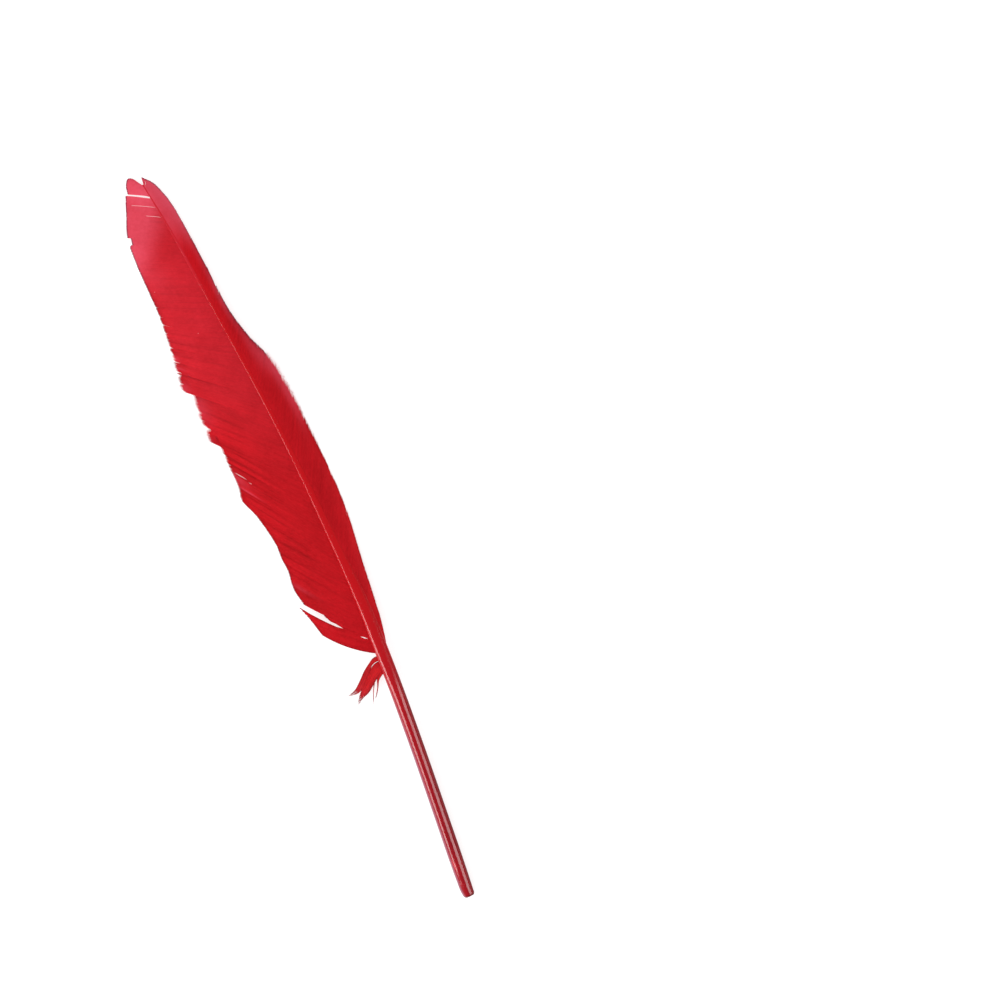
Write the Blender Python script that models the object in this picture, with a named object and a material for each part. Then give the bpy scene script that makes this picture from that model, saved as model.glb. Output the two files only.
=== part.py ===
# A goose quill feather, dyed red, lying on a table with its upper side up.
# It grew as one piece: the shaft, the two vanes and the tuft of down are fused into one solid.
# The feather lies along Y with its tip at +Y, and its narrow leading vane is on the +X side.

import math

import bmesh
import bpy
import numpy as np
from mathutils import Matrix

MM = 0.001

# The shaft, from the blunt end of the quill to the tip, in millimetres:
# place along the feather, place across it, height of the centre line, width and depth
SHAFT = (
    (-0.9, 0.35, 2.52, 3.2, 3.2),
    (1.0, 0.30, 2.56, 4.6, 4.4),
    (7.0, 0.40, 2.67, 5.3, 5.2),
    (14.0, 1.15, 2.84, 5.4, 5.2),
    (30.0, 2.70, 3.15, 5.1, 5.1),
    (60.0, 5.75, 4.10, 5.1, 5.0),
    (85.0, 7.95, 5.00, 5.3, 4.9),
    (100.0, 9.10, 5.50, 5.4, 4.7),
    (115.0, 9.95, 5.90, 4.9, 4.4),
    (130.0, 10.20, 6.15, 4.2, 4.1),
    (150.0, 10.05, 6.30, 3.4, 3.7),
    (170.0, 9.60, 6.20, 2.8, 3.3),
    (200.0, 8.20, 5.70, 2.15, 2.7),
    (230.0, 6.20, 4.70, 1.65, 2.1),
    (260.0, 4.00, 3.45, 1.25, 1.6),
    (280.0, 2.35, 2.40, 0.95, 1.35),
    (297.3, 0.15, 1.35, 0.6, 1.05),
)
SHAFT_SIDES = 14
SHAFT_RINGS = 46
ROUND_UP_TO = 85.0      # the hollow quill is round in section up to here
SQUARED_FROM = 112.0    # and from here the shaft is a rounded square
SQUARENESS = 0.9        # 0 is round
GROOVE_FROM = 97.0      # the groove under the shaft starts where the vanes do
GROOVE_FADE = 10.0      # and has its full depth this much further on
GROOVE_SHARE = 0.16     # of the shaft's depth
DIMPLE_WIDTH = 1.2      # the pit in the quill's end, where the feather drew its blood
DIMPLE_DEPTH = 0.9

# Where barbs are rooted on the shaft, and where they would end unworn: (root, across, along)
TRAILING_BARBS = (
    (297.0, -0.9, 299.7),
    (296.2, -2.3, 301.4),
    (295.2, -4.0, 302.0),
    (294.1, -5.3, 300.7),
    (292.6, -6.2, 297.0),
    (291.6, -7.7, 296.2),
    (282.4, -10.8, 289.3),
    (272.8, -13.9, 281.6),
    (260.5, -15.0, 270.0),
    (240.0, -15.4, 250.5),
    (220.0, -16.9, 237.0),
    (205.5, -18.4, 227.3),
    (194.3, -19.6, 220.3),
    (180.0, -19.4, 209.5),
    (167.2, -18.3, 198.4),
    (156.0, -16.8, 190.0),
    (142.0, -16.0, 177.0),
    (135.5, -15.8, 171.0),
    (132.6, -13.6, 165.0),
    (129.0, -11.9, 156.5),
    (119.0, -11.4, 144.5),
    (109.0, -11.5, 134.0),
    (104.1, -11.1, 128.0),
    (103.5, -13.1, 126.2),
    (101.5, -10.8, 119.5),
    (97.7, -8.9, 112.3),
)
LEADING_BARBS = (
    (296.6, 0.9, 300.4),
    (292.2, 3.4, 297.6),
    (284.8, 5.5, 293.0),
    (277.7, 7.0, 287.5),
    (265.0, 8.3, 275.0),
    (250.6, 9.2, 260.0),
    (235.0, 10.0, 242.0),
    (219.5, 12.5, 229.0),
    (202.0, 16.3, 217.0),
    (185.0, 18.4, 203.0),
    (167.0, 19.3, 186.0),
    (151.0, 19.7, 170.0),
    (134.5, 18.9, 150.0),
    (124.0, 17.0, 135.5),
    (110.0, 14.9, 118.0),
    (100.5, 13.4, 107.0),
    (94.5, 11.5, 99.0),
)

# How much of the trailing barbs' ends is worn or broken away: (root, length lost)
TRAILING_WEAR = (
    (272.8, 0.0), (272.6, 1.4), (270.0, 1.4), (269.0, 0.0),
    (205.0, 0.0), (204.4, 1.2), (202.5, 0.3), (194.2, 0.0),
    (194.0, 4.9), (188.0, 4.2), (181.0, 2.9), (176.5, 2.5),
    (175.5, 4.2), (173.5, 2.6), (167.2, 0.0),
    (167.0, 4.6), (160.0, 3.1), (147.0, 1.9), (135.5, 0.0),
)

# Roots between which two locks have parted, and the share of the barb up to which they still hold
TRAILING_SPLITS = ((292.6, 291.6, 0.12), (104.1, 103.5, 0.48))
# Roots where one lock has slid over the next, which are lock borders too
TRAILING_BORDERS = (272.7, 269.2, 204.6, 194.1, 175.6, 167.1, 155.6)

# Height of the vane's edge above the table: (along, height of the middle of the sheet)
TRAILING_EDGE_HEIGHT = (
    (112.0, 3.2), (126.0, 1.9), (138.0, 1.0), (160.0, -0.2), (175.0, -1.3),
    (228.0, -1.3), (245.0, -0.1), (270.0, 0.45), (302.0, 0.7),
)
LEADING_EDGE_HEIGHT = (
    (99.0, 4.9), (112.0, 4.0), (130.0, 2.3), (150.0, 0.8), (165.0, -0.5),
    (192.0, -0.5), (207.0, 1.0), (222.0, 2.6), (240.0, 3.5), (260.0, 2.9),
    (280.0, 1.9), (301.0, 0.9),
)

VANE_THICKNESS = 0.55
VANE_SEAT = 0.12        # the vanes leave the shaft above its middle, by this share of its depth
ROOT_INSIDE = 0.25      # a vane reaches this share of the shaft's width from its centre
ARCH = 1.5              # how the vane falls away from the shaft: 1 is straight, more is arched

TRAILING_LOCK = 5.4     # the length of shaft that carries one lock
LEADING_LOCK = 8.0
SMALL_LOCK = 2.0        # where barbs fan out, at the tip and in the lowest lock
BORDER_GAP = 0.1        # half the width of the step between two locks
LOCK_STEP = 0.34        # how far a lock's upper border stands over the lock above it, at the edge
TRAILING_NOTCH = 0.9    # how far a lock's corners fall short of its middle
LEADING_NOTCH = 0.35
TRAILING_BEND = math.radians(11)    # a barb leaves at this much more than its overall angle
LEADING_BEND = math.radians(5)
MOST_LOST = 0.6         # no barb loses more than this share of its length
TRAILING_COLUMNS = (0.0, 0.12, 0.30, 0.48, 0.65, 0.80, 0.93, 1.0)
LEADING_COLUMNS = (0.0, 0.20, 0.42, 0.63, 0.82, 1.0)

# The tuft of down below the trailing vane: points (across, along, height) and the lock's widths
DOWN_LOCKS = (
    (((7.4, 95.4, 5.3), (3.0, 94.9, 4.9), (-0.5, 91.6, 3.6), (-4.8, 88.6, 2.0), (-10.1, 87.6, 0.9)),
     (1.7, 2.2, 2.0, 1.6, 0.5)),
    (((7.6, 92.8, 5.1), (3.6, 91.9, 4.3), (0.1, 89.2, 3.1), (-3.4, 86.2, 1.9), (-8.1, 82.9, 0.8)),
     (2.4, 2.9, 2.5, 2.2, 0.5)),
    (((7.2, 90.9, 4.9), (3.9, 89.5, 3.9), (1.5, 86.2, 2.5), (-0.8, 82.5, 1.4), (-3.8, 79.3, 0.8)),
     (1.3, 1.3, 1.0, 0.8, 0.5)),
)
DOWN_THICKNESS = 0.7
DOWN_RINGS = 9

DYED_VANE = (0.62, 0.012, 0.022, 1.0)
DYED_QUILL = (0.42, 0.012, 0.028, 1.0)


def eased(stations, values, at):
    """The value at a place along a smooth curve through the stations."""
    order = np.argsort(stations)
    s, v = np.asarray(stations, float)[order], np.asarray(values, float)[order]
    slopes = np.gradient(v, s)
    at = min(max(at, s[0]), s[-1])
    i = min(max(int(np.searchsorted(s, at)) - 1, 0), len(s) - 2)
    step = s[i + 1] - s[i]
    t = (at - s[i]) / step
    return float(
        v[i] * (1 + 2 * t) * (1 - t) ** 2
        + slopes[i] * step * t * (1 - t) ** 2
        + v[i + 1] * t * t * (3 - 2 * t)
        + slopes[i + 1] * step * t * t * (t - 1)
    )


def shaft_at(along):
    """(across, height, width, depth) of the shaft at a place along the feather."""
    columns = list(zip(*SHAFT))
    return tuple(eased(columns[0], column, along) for column in columns[1:])


def straight(table, at):
    """The value at a place along a table of (place, value), by straight lines."""
    rows = sorted(table)
    return float(np.interp(at, [row[0] for row in rows], [row[1] for row in rows]))


def empty_object(name, material):
    mesh = bpy.data.meshes.new(name)
    mesh.materials.append(material)
    obj = bpy.data.objects.new(name, mesh)
    bpy.context.scene.collection.objects.link(obj)
    return obj


def fill(obj, bm):
    """Moves a finished bmesh, in millimetres, into the object's mesh."""
    bmesh.ops.recalc_face_normals(bm, faces=bm.faces)
    bmesh.ops.scale(bm, vec=(MM, MM, MM), verts=bm.verts)
    bm.to_mesh(obj.data)
    bm.free()


def dyed(name, colour, roughness):
    material = bpy.data.materials.new(name)
    material.use_nodes = True
    shader = material.node_tree.nodes["Principled BSDF"]
    shader.inputs["Base Color"].default_value = colour
    shader.inputs["Roughness"].default_value = roughness
    shader.inputs["Metallic"].default_value = 0.0
    return material


def shaft_section(along):
    """One ring of the shaft: round in the quill, a grooved rounded square in the vaned part."""
    across, height, width, depth = shaft_at(along)
    squareness = min(max((along - ROUND_UP_TO) / (SQUARED_FROM - ROUND_UP_TO), 0.0), 1.0)
    power = 2.0 / (2.0 + SQUARENESS * squareness)
    grooved = GROOVE_SHARE * min(max((along - GROOVE_FROM) / GROOVE_FADE, 0.0), 1.0)
    ring = []
    for i in range(SHAFT_SIDES):
        angle = math.tau * i / SHAFT_SIDES - math.pi / 2
        c, s = math.cos(angle), math.sin(angle)
        x = math.copysign(abs(c) ** power, c) * width / 2
        z = math.copysign(abs(s) ** power, s) * depth / 2
        if i == 0:
            z += grooved * depth
        ring.append((across + x, along, height + z))
    return ring


def make_shaft(material):
    obj = empty_object("feather", material)
    bm = bmesh.new()
    first, last = SHAFT[0][0], SHAFT[-1][0]
    # Rings stand closer together where the quill's end rounds off
    places = [first + (last - first) * (i / (SHAFT_RINGS - 1)) ** 1.25 for i in range(SHAFT_RINGS)]
    rings = [[bm.verts.new(point) for point in shaft_section(place)] for place in places]
    for a, b in zip(rings, rings[1:]):
        for i in range(SHAFT_SIDES):
            j = (i + 1) % SHAFT_SIDES
            bm.faces.new((a[i], a[j], b[j], b[i]))
    bm.faces.new(rings[-1])
    end = bm.faces.new(rings[0])
    rim = (SHAFT[0][3] - DIMPLE_WIDTH) / 2
    bmesh.ops.inset_region(bm, faces=[end], thickness=rim, use_even_offset=True)
    pit = bmesh.ops.extrude_discrete_faces(bm, faces=[end])["faces"][0]
    bmesh.ops.translate(bm, vec=(0, DIMPLE_DEPTH, 0), verts=pit.verts)
    fill(obj, bm)
    return obj


def barb(table, bend, root, share):
    """A point (across, along) on the barb rooted there, at a share of its unworn length."""
    columns = list(zip(*table))
    side = math.copysign(1, columns[1][0])
    across, _, width, _ = shaft_at(root)
    start = np.array((across + side * ROOT_INSIDE * width, root))
    end = np.array([eased(columns[0], column, root) for column in columns[1:]])
    chord = end - start
    # The barb leaves more squarely than it ends, so its middle lies towards the quill
    outward = np.array((chord[1], -chord[0])) * side
    middle = (start + end) / 2 + outward * math.tan(bend) / 2
    return (1 - share) ** 2 * start + 2 * share * (1 - share) * middle + share**2 * end


def barb_length(table, bend, root):
    points = [barb(table, bend, root, share) for share in np.linspace(0, 1, 9)]
    return sum(float(np.linalg.norm(b - a)) for a, b in zip(points, points[1:]))


def vane_height(table, edge_heights, bend, root, share):
    """The height of the middle of the vane's sheet, which lies flat where it meets the table."""
    _, height, _, depth = shaft_at(root)
    seat = height + VANE_SEAT * depth
    edge = straight(edge_heights, barb(table, bend, root, 1.0)[1])
    fallen = edge + (seat - edge) * (1 - share**ARCH)
    return max(fallen, VANE_THICKNESS / 2)


def lock_borders(high, low, length):
    """Roots that cut a stretch of the shaft into equal locks, from the tip down."""
    count = max(1, round((high - low) / length))
    return [high + (low - high) * i / count for i in range(count + 1)]


def trailing_locks():
    """(upper root, lower root) of every lock of the trailing vane, from the tip down."""
    parted = [(upper, lower) for upper, lower, _ in TRAILING_SPLITS]
    stops = {TRAILING_BARBS[0][0], TRAILING_BARBS[-1][0], *TRAILING_BORDERS}
    stops = sorted(stops.union(*parted), reverse=True)
    locks = []
    for high, low in zip(stops, stops[1:]):
        if (high, low) in parted:
            continue
        fans_out = high > TRAILING_SPLITS[0][1] or low < TRAILING_SPLITS[1][1]
        borders = lock_borders(high, low, SMALL_LOCK if fans_out else TRAILING_LOCK)
        locks += zip(borders, borders[1:])
    return locks


def leading_locks():
    borders = lock_borders(LEADING_BARBS[0][0], LEADING_BARBS[-1][0], LEADING_LOCK)
    return list(zip(borders, borders[1:]))


def lock_rows(locks, notch):
    """(root, length cut off, lift) of the three rows of points that carry each lock."""
    rows = []
    for upper, lower in locks:
        rows.append((upper - BORDER_GAP, notch, LOCK_STEP))
        rows.append(((upper + lower) / 2, 0.0, LOCK_STEP / 2))
        rows.append((lower + BORDER_GAP, notch, 0.0))
    return rows


def holds_up_to(upper_root, lower_root):
    """The share of the barb up to which the sheet is whole between two rows of points."""
    for high, low, share in TRAILING_SPLITS:
        if upper_root > high and low > lower_root:
            return share
    return 1.0


def make_vane(name, material, table, edge_heights, bend, columns, rows, wear, can_split):
    """A closed sheet of locks, whose inner border lies inside the shaft."""
    obj = empty_object(name, material)
    bm = bmesh.new()
    top, bottom = [], []
    for root, notch, lift in rows:
        length = barb_length(table, bend, root)
        worn = straight(wear, root) if wear else 0.0
        reach = 1 - min(worn + notch, MOST_LOST * length) / length
        upper, under = [], []
        for share in columns:
            at = share * reach
            x, y = barb(table, bend, root, at)
            z = vane_height(table, edge_heights, bend, root, at)
            upper.append(bm.verts.new((x, y, z + VANE_THICKNESS / 2 + lift * share)))
            under.append(bm.verts.new((x, y, z - VANE_THICKNESS / 2)))
        top.append(upper)
        bottom.append(under)

    def whole(i, k):
        if not (0 <= i < len(rows) - 1 and 0 <= k < len(columns) - 1):
            return False
        if not can_split:
            return True
        return columns[k + 1] <= holds_up_to(rows[i][0], rows[i + 1][0]) + 1e-6

    for i in range(len(rows) - 1):
        for k in range(len(columns) - 1):
            if not whole(i, k):
                continue
            bm.faces.new((top[i][k], top[i][k + 1], top[i + 1][k + 1], top[i + 1][k]))
            bm.faces.new((bottom[i][k], bottom[i + 1][k], bottom[i + 1][k + 1], bottom[i][k + 1]))
            corners = ((i, k), (i, k + 1), (i + 1, k + 1), (i + 1, k))
            beside = ((i - 1, k), (i, k + 1), (i + 1, k), (i, k - 1))
            for n, neighbour in enumerate(beside):
                if whole(*neighbour):
                    continue
                (a, b), (c, d) = corners[n], corners[(n + 1) % 4]
                bm.faces.new((top[a][b], bottom[a][b], bottom[c][d], top[c][d]))
    fill(obj, bm)
    return obj


def make_down_lock(name, material, points, widths):
    """A tapered, curved lock of down, flat in section, rooted inside the shaft."""
    obj = empty_object(name, material)
    bm = bmesh.new()
    stations = list(range(len(points)))
    places = [stations[-1] * i / (DOWN_RINGS - 1) for i in range(DOWN_RINGS)]
    centres = [np.array([eased(stations, column, p) for column in zip(*points)]) for p in places]
    rings = []
    for i, centre in enumerate(centres):
        run = centres[min(i + 1, DOWN_RINGS - 1)] - centres[max(i - 1, 0)]
        run /= np.linalg.norm(run)
        sideways = np.cross(run, (0, 0, 1))
        sideways /= np.linalg.norm(sideways)
        up = np.cross(sideways, run)
        half = eased(stations, widths, places[i]) / 2
        thick = DOWN_THICKNESS / 2 * min(1.0, half)
        offsets = (-sideways * half, up * thick, sideways * half, -up * thick)
        rings.append([bm.verts.new(centre + offset) for offset in offsets])
    for a, b in zip(rings, rings[1:]):
        for i in range(4):
            j = (i + 1) % 4
            bm.faces.new((a[i], a[j], b[j], b[i]))
    bm.faces.new(rings[0])
    bm.faces.new(rings[-1])
    fill(obj, bm)
    return obj


def fuse(base, pieces):
    """Joins the pieces to what they grow from, and keeps them as hidden helpers."""
    for piece in pieces:
        joint = base.modifiers.new("grow " + piece.name, "BOOLEAN")
        joint.operation = "UNION"
        joint.solver = "EXACT"
        joint.material_mode = "TRANSFER"
        joint.object = piece
        piece.hide_render = True
        piece.display_type = "WIRE"


def set_down_on_origin(obj, helpers):
    """Puts the middle of the feather's footprint at the origin."""
    bpy.context.view_layer.update()
    evaluated = obj.evaluated_get(bpy.context.evaluated_depsgraph_get())
    corners = np.array([tuple(corner) for corner in evaluated.bound_box])
    low, high = corners.min(axis=0), corners.max(axis=0)
    shift = Matrix.Translation((-(low[0] + high[0]) / 2, -(low[1] + high[1]) / 2, -low[2]))
    for each in (obj, *helpers):
        each.data.transform(shift)


def main():
    for old in list(bpy.data.objects):
        bpy.data.objects.remove(old)
    quill = dyed("dyed quill", DYED_QUILL, 0.25)
    vane = dyed("dyed vane", DYED_VANE, 0.7)
    feather = make_shaft(quill)
    feather.data.materials.append(vane)
    pieces = [
        make_vane("trailing_vane", vane, TRAILING_BARBS, TRAILING_EDGE_HEIGHT, TRAILING_BEND,
                  TRAILING_COLUMNS, lock_rows(trailing_locks(), TRAILING_NOTCH), TRAILING_WEAR, True),
        make_vane("leading_vane", vane, LEADING_BARBS, LEADING_EDGE_HEIGHT, LEADING_BEND,
                  LEADING_COLUMNS, lock_rows(leading_locks(), LEADING_NOTCH), None, False),
    ]
    for number, (points, widths) in enumerate(DOWN_LOCKS, 1):
        pieces.append(make_down_lock(f"down_lock_{number}", vane, points, widths))
    fuse(feather, pieces)
    set_down_on_origin(feather, pieces)
    feather.data.shade_smooth()
    feather.data.set_sharp_from_angle(angle=math.radians(35))


main()
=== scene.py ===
# %% [markdown]
# # A goose quill feather, dyed red
# A feather is one grown thing with three looks: a horny quill and shaft, flat vanes woven of
# hundreds of barbs, and a little loose down where the vanes begin. A plain solid of it already
# exists, at its real size. This lesson loads that solid as a frame and builds the looks over it.

# %% Load the solid as the frame
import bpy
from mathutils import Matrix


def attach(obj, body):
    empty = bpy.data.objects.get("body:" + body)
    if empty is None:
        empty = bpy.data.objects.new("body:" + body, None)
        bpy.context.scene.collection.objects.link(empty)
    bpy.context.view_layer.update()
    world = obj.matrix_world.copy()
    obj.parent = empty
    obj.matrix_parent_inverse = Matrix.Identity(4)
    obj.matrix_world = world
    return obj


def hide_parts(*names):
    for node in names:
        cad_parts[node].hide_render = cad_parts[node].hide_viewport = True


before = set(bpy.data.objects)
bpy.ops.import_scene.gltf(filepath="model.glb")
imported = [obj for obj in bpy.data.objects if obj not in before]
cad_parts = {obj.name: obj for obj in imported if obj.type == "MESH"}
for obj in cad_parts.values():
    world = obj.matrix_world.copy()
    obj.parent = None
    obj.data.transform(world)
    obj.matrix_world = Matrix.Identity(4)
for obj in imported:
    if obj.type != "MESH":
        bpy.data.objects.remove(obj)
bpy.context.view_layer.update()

# %% [markdown]
# ## Where things are
# Sizes below are millimetres on the feather itself: across it, along it from the quill's end, and
# up from the table. The frame has its origin in the middle of the footprint instead. One measured
# point joins the two: the middle of the quill's blunt end, which the solid has as a small ring of
# points. Everything that is built goes through `to_frame`, so it all lands where the solid is.

# %% Find the quill's end in the frame
import math

import bpy
import numpy as np
from mathutils import Vector

MM = 0.001
QUILL_END = np.array((0.35, -0.9, 0.0))

solid_points = np.array([v.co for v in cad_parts["feather"].data.vertices]) / MM
low_end = solid_points[:, 1].min()
end_ring = solid_points[solid_points[:, 1] < low_end + 0.01]
SHIFT = np.array((end_ring[:, 0].mean(), low_end, solid_points[:, 2].min())) - QUILL_END


def to_frame(points):
    """Millimetres on the feather become metres in the frame."""
    return (np.asarray(points, float) + SHIFT) * MM


print("feather to frame, mm:", SHIFT.round(3))

# %% [markdown]
# ## Smooth tables
# The shape of a feather is a few measurements that change slowly along it. A table of a dozen
# stations and a smooth curve through them gives every place in between, for one value or for
# thousands at once, because numpy works on whole arrays.

# %% Read a table smoothly


def eased(stations, values, at):
    """Values at any places along a smooth curve through the stations."""
    order = np.argsort(stations)
    s, v = np.asarray(stations, float)[order], np.asarray(values, float)[order]
    slopes = np.gradient(v, s)
    at = np.clip(at, s[0], s[-1])
    i = np.clip(np.searchsorted(s, at) - 1, 0, len(s) - 2)
    step = s[i + 1] - s[i]
    t = (at - s[i]) / step
    return (
        v[i] * (1 + 2 * t) * (1 - t) ** 2
        + slopes[i] * step * t * (1 - t) ** 2
        + v[i + 1] * t * t * (3 - 2 * t)
        + slopes[i + 1] * step * t * t * (t - 1)
    )


def straight(table, at):
    """Values at any places along a table of (place, value), by straight lines."""
    rows = np.array(sorted(table), float)
    return np.interp(at, rows[:, 0], rows[:, 1])


def rise_over(low, high, at):
    """0 below low, 1 above high, and a soft step between them."""
    t = np.clip((at - low) / (high - low), 0, 1)
    return t * t * (3 - 2 * t)


# The shaft: along, across, height of its middle, width, depth
SHAFT = np.array((
    (-0.9, 0.35, 2.52, 3.5, 3.4),
    (-0.4, 0.33, 2.53, 4.15, 4.0),
    (1.0, 0.30, 2.56, 4.6, 4.4),
    (7.0, 0.78, 2.67, 5.1, 5.0),
    (14.0, 1.46, 2.84, 5.3, 5.1),
    (30.0, 3.08, 3.15, 5.3, 5.1),
    (60.0, 6.04, 4.10, 5.3, 5.0),
    (85.0, 8.14, 5.00, 5.35, 4.9),
    (100.0, 9.10, 5.50, 5.35, 4.7),
    (115.0, 9.95, 5.90, 4.9, 4.4),
    (130.0, 10.20, 6.15, 4.2, 4.1),
    (150.0, 10.05, 6.30, 3.4, 3.7),
    (170.0, 9.75, 6.20, 2.8, 3.3),
    (200.0, 8.50, 5.70, 2.15, 2.7),
    (230.0, 6.40, 4.70, 1.65, 2.1),
    (260.0, 4.00, 3.45, 1.25, 1.6),
    (280.0, 2.35, 2.40, 0.95, 1.35),
    (297.3, 0.15, 1.35, 0.6, 1.05),
))


def shaft_at(along):
    """Across, height, width and depth of the shaft at any places along it."""
    return [eased(SHAFT[:, 0], column, along) for column in SHAFT[:, 1:].T]


print("quill at 30 mm:", [round(float(v), 2) for v in shaft_at(30.0)])

# %% [markdown]
# ## One way to make every strand
# Barbs, down and the shaft itself are all long closed tubes with few sides. So one function makes
# a mesh from rings of points: strand by strand, ring by ring, point by point. Building with arrays
# makes even a vane of hundreds of barbs in a moment. Each strand also gets its own row in a texture
# map, so that a pattern on hundreds of overlapping strands can still be drawn into one image.

# %% Make a mesh from rings
COLOUR_MAP = "OFBake"


def mesh_of_strands(name, rings, sharp_degrees=None, **fields):
    """rings is strands x rings x sides x 3, in mm. fields are values kept at every point."""
    strands, along, sides = rings.shape[:3]
    index = np.arange(strands * along * sides).reshape(strands, along, sides)
    near, far = index[:, :-1], index[:, 1:]
    walls = np.stack([near, np.roll(near, -1, 2), np.roll(far, -1, 2), far], -1)
    ends = np.concatenate([index[:, 0, ::-1], index[:, -1]])
    mesh = bpy.data.meshes.new(name)
    points = to_frame(rings.reshape(-1, 3))
    mesh.from_pydata(points, [], walls.reshape(-1, 4).tolist() + ends.tolist())
    add_strand_rows(mesh, strands, along, sides)
    for field, values in fields.items():
        values = np.broadcast_to(values, rings.shape[:3] + np.shape(values)[3:])
        vector = values.ndim == 4
        layer = mesh.attributes.new(field, "FLOAT_VECTOR" if vector else "FLOAT", "POINT")
        flat = np.ascontiguousarray(values, np.float32).ravel()
        layer.data.foreach_set("vector" if vector else "value", flat)
    mesh.shade_smooth()
    if sharp_degrees:
        mesh.set_sharp_from_angle(angle=math.radians(sharp_degrees))
    obj = bpy.data.objects.new(name, mesh)
    bpy.context.scene.collection.objects.link(obj)
    print(f"{name}: {strands} strands, {len(mesh.polygons)} faces")
    return obj


def add_strand_rows(mesh, strands, along, sides):
    """A texture map that gives every strand a row and every side of it a part of that row."""
    s, a, k = np.meshgrid(np.arange(strands), np.arange(along - 1), np.arange(sides), indexing="ij")
    u = np.stack([a, a, a + 1, a + 1], -1) / (along - 1)
    v = (s[..., None] + np.stack([k, k + 1, k + 1, k], -1) / sides) / strands
    walls = np.stack([u, v], -1).reshape(-1, 2)
    # The two end faces of a strand take a thin slice at either end of its row
    slice_width, slice_height = 0.002, 0.2
    row = (np.arange(strands) + 0.5) / strands
    caps = []
    for place, inward in ((0.0, slice_width), (1.0, -slice_width)):
        corners = np.zeros((strands, sides, 2))
        corners[..., 0] = np.resize((place, place, place + inward, place + inward), sides)
        up = np.resize((-slice_height, slice_height, slice_height, -slice_height), sides)
        corners[..., 1] = row[:, None] + up / strands
        caps.append(corners.reshape(-1, 2))
    layer = mesh.uv_layers.new(name=COLOUR_MAP)
    layer.data.foreach_set("uv", np.concatenate([walls, *caps]).astype(np.float32).ravel())


def smooth_noise(rng, places, spacing):
    """Random values between -1 and 1 that change slowly over places, one knot per spacing."""
    knots = np.arange(places.min() - spacing, places.max() + 2 * spacing, spacing)
    return eased(knots, rng.uniform(-1, 1, len(knots)), places)


# %% [markdown]
# ## The shaft
# The bare quill is a round horny tube. Where the vanes begin it turns into the rachis, which is a
# rounded square in section with a groove along its underside. A loft of rings makes both, and the
# ring's shape slides from one to the other. Real quills aren't drawn with a ruler, so slow noise
# leaves faint flats and ridges that the highlights catch. Below the vanes the underside has a
# dimple, where the young feather's core closed, and the blunt end has a small pit.

# %% Build the shaft
SHAFT_SIDES = 40
SHAFT_RINGS = 520
SQUARENESS = ((76.0, 0.0), (84.0, 0.25), (92.0, 0.5), (100.0, 0.9), (112.0, 1.4), (126.0, 2.2))
GROOVE_FROM, GROOVE_FADE, GROOVE_SHARE, GROOVE_WIDTH = 97.0, 10.0, 0.2, 0.22
DIMPLE_AT, DIMPLE_LENGTH, DIMPLE_WIDTH, DIMPLE_SHARE = 95.0, 1.6, 0.3, 0.3
FLATS = 0.006           # of the radius
PIT_STEPS = (           # the end's rings: share of the end's radius, depth into it in mm
    (0.05, 1.6), (0.25, 1.45), (0.36, 0.65), (0.46, 0.12), (0.7, -0.1), (0.9, -0.06),
)


def shaft_rings(along, sides):
    """Rings of the shaft's skin at the given places, and the sine of each point's side angle."""
    across, height, width, depth = shaft_at(along)
    power = (2 / (2 + straight(SQUARENESS, along)))[:, None]
    angle = math.tau * np.arange(sides) / sides - math.pi / 2
    c, s = np.cos(angle)[None], np.sin(angle)[None]
    x = np.sign(c) * np.abs(c) ** power
    z = np.sign(s) * np.abs(s) ** power
    groove = GROOVE_SHARE * np.clip((along - GROOVE_FROM) / GROOVE_FADE, 0, 1)[:, None]
    hollow = 2 * groove * np.exp(-((x / GROOVE_WIDTH / 2) ** 2))
    dimple = DIMPLE_SHARE * np.exp(-(((along - DIMPLE_AT) / DIMPLE_LENGTH) ** 2))[:, None]
    hollow = hollow + dimple * np.exp(-((x / DIMPLE_WIDTH) ** 2))
    z = z + hollow * (s < 0)
    rng = np.random.default_rng(3)
    flats = sum(
        np.cos(n * angle[None] + 4 * smooth_noise(rng, along, 60)[:, None]) / n**0.5
        for n in (3, 5, 8)
    )
    x, z = x * (1 + FLATS * flats), z * (1 + FLATS * flats)
    rings = np.stack([
        across[:, None] + x * width[:, None] / 2,
        np.broadcast_to(along[:, None], x.shape),
        height[:, None] + z * depth[:, None] / 2,
    ], -1)
    return rings, np.broadcast_to(c, x.shape)


def build_shaft():
    first, last = SHAFT[0, 0], SHAFT[-1, 0]
    along = first + (last - first) * np.linspace(0, 1, SHAFT_RINGS) ** 1.15
    skin, sideways = shaft_rings(along, SHAFT_SIDES)
    middle = skin[0].mean(0)
    pit = []
    for radius, depth in PIT_STEPS:
        ring = middle + (skin[0] - middle) * radius
        ring[:, 1] = first + depth
        pit.append(ring)
    rings = np.concatenate([np.array(pit), skin])[None]
    flank = np.concatenate([np.repeat(sideways[:1], len(PIT_STEPS), 0), sideways])[None]
    return mesh_of_strands("shaft", rings, along_mm=rings[..., 1], flank=flank)


shaft = build_shaft()

# %% [markdown]
# ## Barbs
# A vane is hundreds of barbs, side by side, each a thin blade that leaves the shaft at a wide angle
# and bends towards the tip. Neighbours hook together into a smooth web, and the web parts into
# locks. Modelling the barbs themselves, and not a sheet with a picture of barbs, gives a true
# frayed edge, real gaps and the fine lines that run out from the shaft. Each barb is a flat blade
# with a low ridge, a little wider than the distance to its neighbour, so the web has no holes.

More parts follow.
